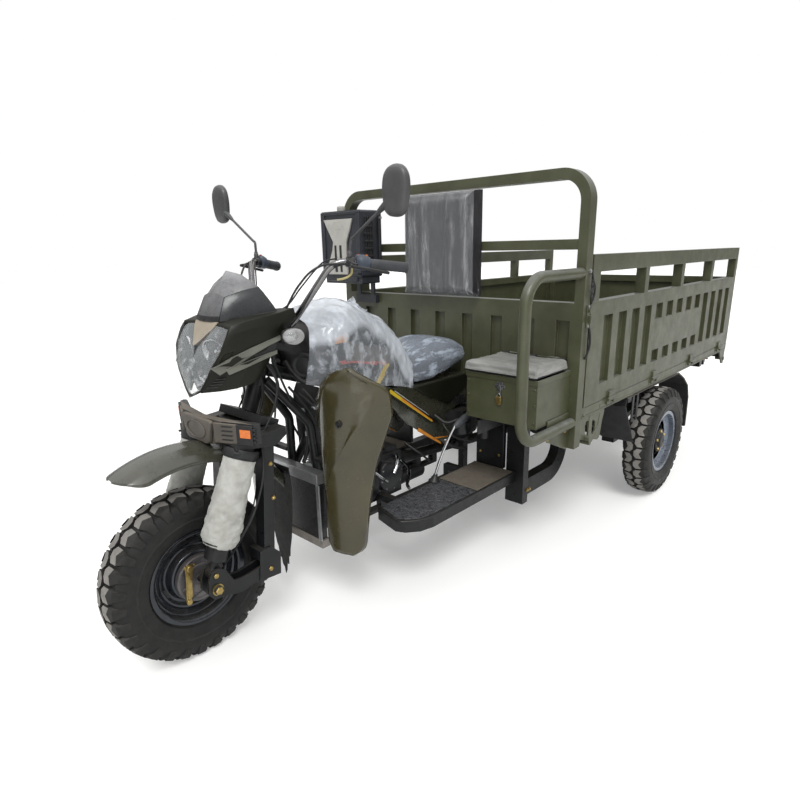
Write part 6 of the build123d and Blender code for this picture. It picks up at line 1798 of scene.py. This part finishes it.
# footboards: ribbed black mat in front, dusty fibre board behind, rolled edge
def makeMats(side, tag):
    def flip(points):
        return [(side * x, y) for x, y in points]
    # the front mat's finish mixes grey patches into the black as painted glints
    front = plateShape(flip([(204, 682), (322, 652), (354, 668), (388, 708), (400, 764), (400, 1046),
        (204, 1046)]), 335, 338.5, "z")
    addPiece("frontMat" + tag, front, "blackRibbedMat", "chassis", bevel=1.2)
    rear = plateShape(flip([(200, 1052), (402, 1052), (402, 1322), (200, 1322)]), 335, 339.5, "z")
    addPiece("rearMat" + tag, rear, "woodPulpMat", "chassis", bevel=1.2)
    rim = [place(side * x, y, 333) for x, y in ((190, 1326), (407, 1326), (407, 762), (394, 704), (360, 660),
        (325, 644), (207, 673))]
    path = [rim[0], rim[1]] + smoothPath(rim[2:], 5)
    addPiece("footboardEdge" + tag, tubeShape(path, 4.5, 10), "blackChassisPaint", "chassis", sharp=60)
    skirt = plateShape(flip([(200, 1322), (300, 1322), (300, 1310), (200, 1310)]), 292, 334, "z")
    addPiece("footboardLip" + tag, skirt, "blackChassisPaint", "chassis", bevel=1.0)


makeMats(1, "Left")
makeMats(-1, "Right")


# air filter: rounded case, pale plate with slots, louvres, clips and cap
def makeFilterTrim():
    outline = [(-641, 1442), (-437, 1442), (-452, 1400), (-482, 1337), (-484, 1270), (-478, 1184),
        (-652, 1184), (-612, 1240), (-584, 1300), (-576, 1337), (-616, 1400)]
    addPiece("filterPlate", plateShape(outline, 1180, 1190.5, "y"), "paleFilterPlate", "chassis", bevel=2.5)
    # the slots are drawn as thin black strips on the plate: painted shade in the openings
    slots = [plateShape([(-566, 1322), (-552, 1322), (-548, 1196), (-566, 1196)], 1178.6, 1184, "y"),
        plateShape([(-530, 1322), (-515, 1322), (-512, 1196), (-528, 1196)], 1178.6, 1184, "y")]
    addPiece("filterPlateSlots", slots, "blackMouldedPlastic", "chassis", bevel=1.0)
    ring = [place(-538 + 38 * math.cos(a), 1179.8, 1412 + 17 * math.sin(a)) for a in turns(36, 1)]
    addPiece("filterPlateRing", tubeShape(ring, 0.9, 6), "paleFilterPlate", "chassis")
    frame = [boxShape(-666, -640, 1184, 1192, 1182, 1470), boxShape(-414, -388, 1184, 1192, 1182, 1470),
        boxShape(-666, -388, 1184, 1192, 1462, 1476), boxShape(-666, -388, 1184, 1192, 1178, 1194)]
    addPiece("filterFaceFrame", frame, "filterCasePlastic", "chassis", bevel=3.0)
    ribs = [boxShape(-386, -379, 1214 + 15 * k, 1222 + 15 * k, 1200, 1450) for k in range(4)]
    ribs += [boxShape(-386, -377, 1206, 1262, 1230 + 34 * k, 1240 + 34 * k) for k in range(6)]
    addPiece("filterSideRibs", ribs, "blackMouldedPlastic", "chassis", bevel=1.5)
    rod = [tubeShape([place(-378, 1306, z) for z in (1178, 1200, 1440, 1462)], [7, 9, 9, 7], 16),
        tubeShape([place(-392, 1306, 1462), place(-372, 1306, 1480)], 6, 12)]
    addPiece("filterLatchTube", rod, "blackMouldedPlastic", "chassis", sharp=40)
    clips = [boxShape(-383, -366, 1298, 1314, 1440, 1450), boxShape(-383, -366, 1298, 1314, 1190, 1200)]
    addPiece("filterClips", clips, "brightZincPlate", "chassis", bevel=1.0)
    foot = joined([boxShape(-660, -394, 1196, 1320, 1140, 1174),
        boxShape(-640, -420, 1186, 1200, 1150, 1180)])
    addPiece("filterFoot", foot, "filterCasePlastic", "chassis", bevel=5.0)
    cap = turnedShape([(0, 18), (4, 20), (24, 20), (28, 17), (30, 8), (30.2, 0.1)], place(-590, 1256, 1478),
        (0, 0, 1), 32)
    addPiece("filterCap", cap, "paleFilterPlate", "chassis", sharp=30)


makeFilterTrim()


# tool box: hasp, padlock, lip and rivets
def makeHasp():
    plate = joined([boxShape(458, 486, 1086.5, 1090, 770, 800), boxShape(466, 478, 1083, 1087, 752, 786),
        boxShape(448, 496, 1085.6, 1088, 781, 790)])
    addPiece("boxHasp", plate, "brightZincPlate", "chassis", bevel=0.8)
    loop = [place(472 + 8 * math.cos(a), 1082, 744 + 12 * math.sin(a))
        for a in (math.pi * k / 12 for k in range(13))]
    addPiece("padlockShackle", tubeShape(loop, 2.2, 8), "brightZincPlate", "chassis", sharp=60)
    body = plateShape([(461, 744), (483, 744), (485, 738), (484, 718), (478, 711), (466, 711), (460, 718),
        (459, 738)], 1076, 1086, "y")
    addPiece("padlockBody", body, "goldZincPlate", "chassis", bevel=1.4)
    lip = joined([boxShape(311, 638, 1086.5, 1090, 806, 826), boxShape(635, 638.5, 1090, 1341, 806, 826)])
    addPiece("boxLip", lip, "olivePowderCoat", "chassis", bevel=1.0)
    studs = [boltShape(place(324, 1089.8, z), (0, -1, 0), 8, 2.5, False) for z in (660, 730, 790)]
    studs += [boltShape(place(625, 1089.8, z), (0, -1, 0), 8, 2.5, False) for z in (660, 730, 790)]
    addPiece("boxStuds", studs, "olivePowderCoat", "chassis", sharp=40)


makeHasp()
print("cables, engine, decals, mats, filter and box are dressed")


# bed fittings: gate latches, corner brackets, under the bed, gear lever, bars, tail and bolts
def makeGateLatches():
    for side, tag in bothSides:
        hook = [place(side * x, y, z) for x, y, z in ((678, 1380, 1206), (684, 1386, 1170),
            (686, 1396, 1150), (684, 1402, 1120), (680, 1398, 1096), (680, 1388, 1086))]
        links = []
        for k in range(3):
            z = 1160 - 22 * k
            ring = [place(side * (684 + 3 * math.cos(a)), 1381 + 7 * math.sin(a) * (k % 2) + 3 * math.cos(a),
                z + 12 * math.sin(a)) for a in turns(20, 1)]
            links.append(tubeShape(ring, 2.4, 8))
        addPiece("gateHook" + tag, joined([tubeShape(smoothPath(hook, 5), 3.4, 10)] + links),
            "darkEngineCasting", "chassis", sharp=60)
        plate = joined([sideBox(side, 672.5, 677, 1366, 1388, 992, 1080),
            sideBox(side, 677, 686, 1370, 1384, 1052, 1066),
            sideBox(side, 677, 690, 1372, 1382, 1010, 1040)])
        addPiece("gateLatchPlate" + tag, plate, "olivePowderCoat", "chassis", bevel=1.2)
        bolts = joined([boltShape(place(side * 672.6, 1372, 1206), (side, 0, 0), 14, 7),
            boltShape(place(side * 676.8, 1377, 1074), (side, 0, 0), 8, 4),
            boltShape(place(side * 676.8, 1377, 998), (side, 0, 0), 8, 4)])
        addPiece("gateLatchBolts" + tag, bolts, "brightZincPlate", "chassis", sharp=30)
        strap = [place(side * x, y, z) for x, y, z in ((680, 1384, 990), (683, 1390, 962), (684, 1392, 926),
            (680, 1384, 890), (675, 1374, 868))]
        addPiece("gateStrap" + tag, tubeShape(smoothPath(strap, 6), [4.6] * 24 + [3.0], 10),
            "blackMouldedPlastic", "chassis", sharp=60)


makeGateLatches()


def makeGusset():
    # pressed bracket under the front corner of the bed, with its stadium slot and towing eye
    outer = [(1391, 664), (1618, 640), (1618, 604), (1600, 560), (1590, 500), (1574, 482), (1420, 524),
        (1402, 524), (1391, 540)]
    hole = [(1446, 596), (1520, 584), (1534, 572), (1532, 530), (1520, 518), (1452, 534), (1438, 546),
        (1436, 584)]
    for side, tag in bothSides:
        count = 48

        def around(loop, share):
            total = [Vector((a[0], a[1])) for a in loop]
            lengths = [(total[(i + 1) % len(total)] - total[i]).length for i in range(len(total))]
            reach, goal = 0.0, share * sum(lengths)
            for i, length in enumerate(lengths):
                if reach + length >= goal:
                    return total[i] + (total[(i + 1) % len(total)] - total[i]) * ((goal - reach) / length)
                reach += length
            return total[0]
        outline = [around(outer, k / count) for k in range(count)]
        inner = []
        centre = Vector((1486, 556))
        for p in outline:
            way = p - centre
            best = None
            for a, b in zip(hole, hole[1:] + hole[:1]):
                a, b = Vector(a), Vector(b)
                edge = b - a
                cross = way.x * edge.y - way.y * edge.x
                if abs(cross) < 1e-6:
                    continue
                t = ((a.x - centre.x) * edge.y - (a.y - centre.y) * edge.x) / cross
                u = ((a.x - centre.x) * way.y - (a.y - centre.y) * way.x) / cross
                if t > 0 and 0 <= u <= 1 and (best is None or t < best):
                    best = t
            inner.append(centre + way * (best or 0.3))
        rows = []
        for loop, x in ((inner, 664), (inner, 671), (outline, 671), (outline, 664)):
            rows.append([place(side * x, p.x, p.y) for p in loop])
        rows.append(rows[0])
        shape = gridShape(rows, closed=True)
        if side < 0:
            shape = flipped(shape)
        addPiece("bedGusset" + tag, shape, "olivePowderCoat", "chassis", sharp=40, bevel=1.0)
        eye = joined([tubeShape([place(side * 640, 1452, 520), place(side * 688, 1452, 520)], 10, 18),
            boltShape(place(side * 671.2, 1411, 628), (side, 0, 0), 12, 7)])
        addPiece("bedGussetEye" + tag, eye, "olivePowderCoat", "chassis", sharp=40)
        apron = plateShape([(1171, 652), (1340, 652), (1344, 497), (1330, 497), (1190, 560), (1172, 566)],
            *sorted((side * 636, side * 641)))
        addPiece("boxApron" + tag, apron, "olivePowderCoat", "chassis", bevel=1.0)
        seams = [sideBox(side, 671.6, 675.5, 1392, 3470, 618, 624)]
        seams += [sideBox(side, 671.6, 674, y, y + 60, 628, 648) for y in (1560, 2120, 2680, 3240)]
        addPiece("bedSillSeam" + tag, seams, "olivePowderCoat", "chassis", bevel=0.8)


makeGusset()


def makeUnderBed():
    # dark brackets, battery tray and chain case behind the footboards
    shapes = [boxShape(206, 352, 1318, 1340, 340, 618), boxShape(-352, -206, 1318, 1340, 340, 618),
        boxShape(360, 366, 1100, 1330, 560, 622), boxShape(-180, 180, 1300, 1340, 560, 618),
        boxShape(40, 190, 1230, 1300, 470, 600)]
    addPiece("underSeatBrackets", shapes, "blackChassisPaint", "chassis", bevel=2.0)
    bits = [hose([(180, 1240, 560), (240, 1200, 520), (290, 1180, 560), (330, 1200, 610)], 7.0),
        hose([(90, 1180, 600), (150, 1150, 540), (200, 1160, 500), (250, 1230, 470)], 5.0),
        hose([(60, 1120, 560), (110, 1130, 500), (170, 1170, 450), (200, 1250, 420)], 8.0),
        hose([(150, 1080, 610), (200, 1100, 580), (230, 1150, 590), (260, 1210, 600)], 6.0)]
    addPiece("underSeatHoses", bits, "blackMouldedPlastic", "chassis", sharp=60)
    pot = joined([turnedShape([(0, 20), (0, 34), (50, 34), (56, 26), (58, 0.1)], place(216, 1180, 520),
        (0, 0, 1), 28), turnedShape([(0, 12), (0, 22), (60, 22), (64, 12)], place(300, 1236, 500), (0, 0, 1),
        24)])
    addPiece("brakePot", pot, "darkEngineCasting", "chassis", sharp=30)
    bolts = [boltShape(place(x, 1317.6, z), (0, -1, 0), 9, 5) for x in (230, 330) for z in (400, 560)]
    addPiece("underSeatBolts", bolts, "goldZincPlate", "chassis", sharp=30)
    panel = plateShape([(-70, 560), (96, 560), (120, 640), (118, 792), (64, 826), (-64, 826), (-90, 780)],
        522, 526, "y")
    addPiece("radiatorBaffle", panel, "blackMouldedPlastic", "chassis", bevel=1.0)


makeUnderBed()


def makeGearLever():
    stick = places(((206, 1010, 352), (214, 1040, 430), (232, 1074, 520), (246, 1090, 566),
        (250, 1096, 580)))
    addPiece("gearLever", tubeShape(smoothPath(stick, 6), 6.0, 12), "mirrorChrome", "chassis", sharp=60)
    a, b = place(250, 1092, 572), place(250, 1196, 606)
    knob = tubeShape([a, a + (b - a) * 0.05, a + (b - a) * 0.25, a + (b - a) * 0.7, a + (b - a) * 0.95, b],
        [7, 12, 15, 17, 15, 6], 18)
    addPiece("gearLeverGrip", knob, "handGripRubber", "chassis", sharp=60)
    boot = turnedShape([(0, 26), (6, 25), (12, 18), (20, 16), (26, 11), (34, 9)], place(206, 1010, 338),
        (0.1, 0.2, 1), 24)
    addPiece("gearLeverBoot", boot, "blackMouldedPlastic", "chassis", sharp=60)


makeGearLever()


def makeHandlebarBits():
    up = Vector((0, 0, 1))
    out = gripWay.cross(up).normalized()
    for side, tag in bothSides:
        def spot(t, u, v):
            p = gripEnd + gripWay * t + up * u + out * v
            return place(side * p.x, p.y, p.z)
        box = []
        for t, r in ((128, 15), (131, 21), (150, 24), (168, 21), (172, 15)):
            box.append([spot(t, r * 1.05 * math.sin(k * math.pi / 12) + 3,
                r * math.cos(k * math.pi / 12)) for k in range(24)])
        shape = gridShape(box, closed=True)
        shape[1].extend([tuple(range(23, -1, -1)), tuple(range(96, 120))])
        if side > 0:
            shape = flipped(shape)
        addPiece("switchPod" + tag, shape, "blueGreySwitchPlastic", "steering", sharp=50)
        for n, (t, u, v, colour) in enumerate(((136, 27, -4, "orangeReflector"),
                (150, 29, 0, "blackMouldedPlastic"), (162, 26, 3, "redDecalVinyl"))):
            button = tubeShape([spot(t, u - 5, v), spot(t, u + 1.5, v)], 4.2, 12)
            addPiece("switchButton%d%s" % (n + 1, tag), button, colour, "steering", sharp=40)
        collar = tubeShape([spot(-2, 0, 0), spot(0, 0, 0), spot(4, 0, 0), spot(6, 0, 0)],
            [15, 19, 19, 17], 20)
        rings = [tubeShape([spot(10 + 14 * k, 0, 0), spot(12 + 14 * k, 0, 0)], 17.3, 20) for k in range(8)]
        addPiece("gripRings" + tag, joined([collar] + rings), "handGripRubber", "steering", sharp=50)
        perch = tubeShape([spot(176, 0, 0), spot(178, 0, 0), spot(202, 0, 0), spot(204, 0, 0)],
            [13, 16, 16, 13], 20)
        arm = tubeShape([spot(190, 0, -12), spot(186, -4, -34), spot(176, -8, -44)], [7, 6, 6], 12)
        addPiece("leverPerch" + tag, joined([perch, arm]), "darkEngineCasting", "steering", sharp=40)
    loops = [hose([(243, 502, 1262), (214, 470, 1230), (176, 430, 1170), (150, 404, 1110), (128, 380, 1072)],
        3.2), hose([(236, 494, 1276), (190, 470, 1262), (130, 430, 1190), (92, 396, 1130), (60, 350, 1106)],
        2.6)]
    addPiece("barCables", joined(loops + [mirroredShape(s) for s in loops]), "blackMouldedPlastic",
        "steering", sharp=60)
    sleeve = hose([(266, 530, 1246), (262, 528, 1226), (246, 514, 1214), (228, 498, 1210)], 3.6)
    addPiece("yellowCableSleeve", sleeve, "agedSleevePlastic", "steering", sharp=60)
    cap = turnedShape([(0, 17), (5, 18), (8, 14), (12, 6), (12.2, 0.1)], place(0, 396, 1082),
        (0, -0.374, 0.927), 24)
    addPiece("steeringNut", cap, "mirrorChrome", "steering", sharp=30)


makeHandlebarBits()


def makeTailDetails():
    for side, tag in bothSides:
        x0, x1 = sorted((side * 418, side * 578))
        third = (x1 - x0) / 3
        for n, colour in enumerate(("redLampPlastic", "orangeReflector", "redLampPlastic")):
            lens = boxShape(x0 + third * n + 3, x0 + third * (n + 1) - 3, 3487, 3494.5, 536, 572)
            addPiece("tailLens%d%s" % (n + 1, tag), lens, colour, "chassis", bevel=2.0)
    plate = boxShape(-110, 110, 3486, 3489, 520, 580)
    addPiece("blankNumberPlate", plate, "paleFilterPlate", "chassis", bevel=1.0)
    screws = [boltShape(place(x, 3489, 550), (0, 1, 0), 7, 3) for x in (-90, 90)]
    addPiece("numberPlateScrews", screws, "brightZincPlate", "chassis", sharp=30)


def makeMudguardTrim():
    for side, tag in bothSides:
        lip = [place(side * 664, y, z) for y, z in ((1884, 604), (2100, 604), (2400, 604), (2600, 604),
            (2700, 560), (2790, 500), (2830, 420), (2836, 300), (2836, 240))]
        addPiece("mudguardLip" + tag, tubeShape(lip, 4.0, 10), "greyMouldedPlastic", "chassis", sharp=60)
        x0, x1 = sorted((side * 506, side * 660))
        flap = boxShape(x0, x1, 2837, 2841, 262, 424)
        addPiece("mudguardFlap" + tag, flap, "mudFlapRubber", "chassis", bevel=1.0)
        strips = [sideBox(side, 662, 667, y, y + 22, 470, 600) for y in (1950, 2004)]
        addPiece("mudguardStrips" + tag, strips, "darkEngineCasting", "chassis", bevel=1.0)


makeTailDetails()
makeMudguardTrim()


def makeNutsAndBolts():
    chassis, front = [], []
    for side in (1, -1):
        for y in (1150, 1290):
            chassis.append(boltShape(place(side * 652, y, 587), (0, 0, -1), 10, 6))
        for y in (1500, 1900, 2300, 2700, 3100, 3400):
            chassis.append(boltShape(place(side * 452, y, 574), (0, 0, -1), 12, 7))
        for x, z in ((380, 560), (434, 560), (380, 250), (434, 250)):
            chassis.append(boltShape(place(side * 453, 1366 + 18 * (x > 400), z), (side, 0, 0), 12, 6))
        front.append(boltShape(place(side * 136, 132, 724), (0, -1, 0.2), 12, 7))
        front.append(boltShape(place(side * 163, 195, 275), (side, 0, 0), 15, 8))
        front.append(boltShape(place(side * 161, 232, 640), (side, 0, 0), 10, 6))
        front.append(boltShape(place(side * 161, 232, 520), (side, 0, 0), 10, 6))
    addPiece("chassisBolts", chassis, "goldZincPlate", "chassis", sharp=30)
    addPiece("forkBolts", front, "goldZincPlate", "steering", sharp=30)
    ends = []
    for side in (1, -1):
        spot = place(side * 164, 0, axleZ)
        ends.append(turnedShape([(0, 10), (0, 19), (3, 19), (3.4, 12)], spot, (side, 0, 0), 28))
        ends.append(boltShape(spot + Vector((side * 0.003, 0, 0)), (side, 0, 0), 24, 12, False))
        ends.append(boltShape(place(side * 160.5, 0, 336), (side, 0, 0), 15, 8))
    addPiece("axleNuts", ends, "goldZincPlate", "steering", sharp=30)


makeNutsAndBolts()
print("bed, bars, tail and small fittings are made")
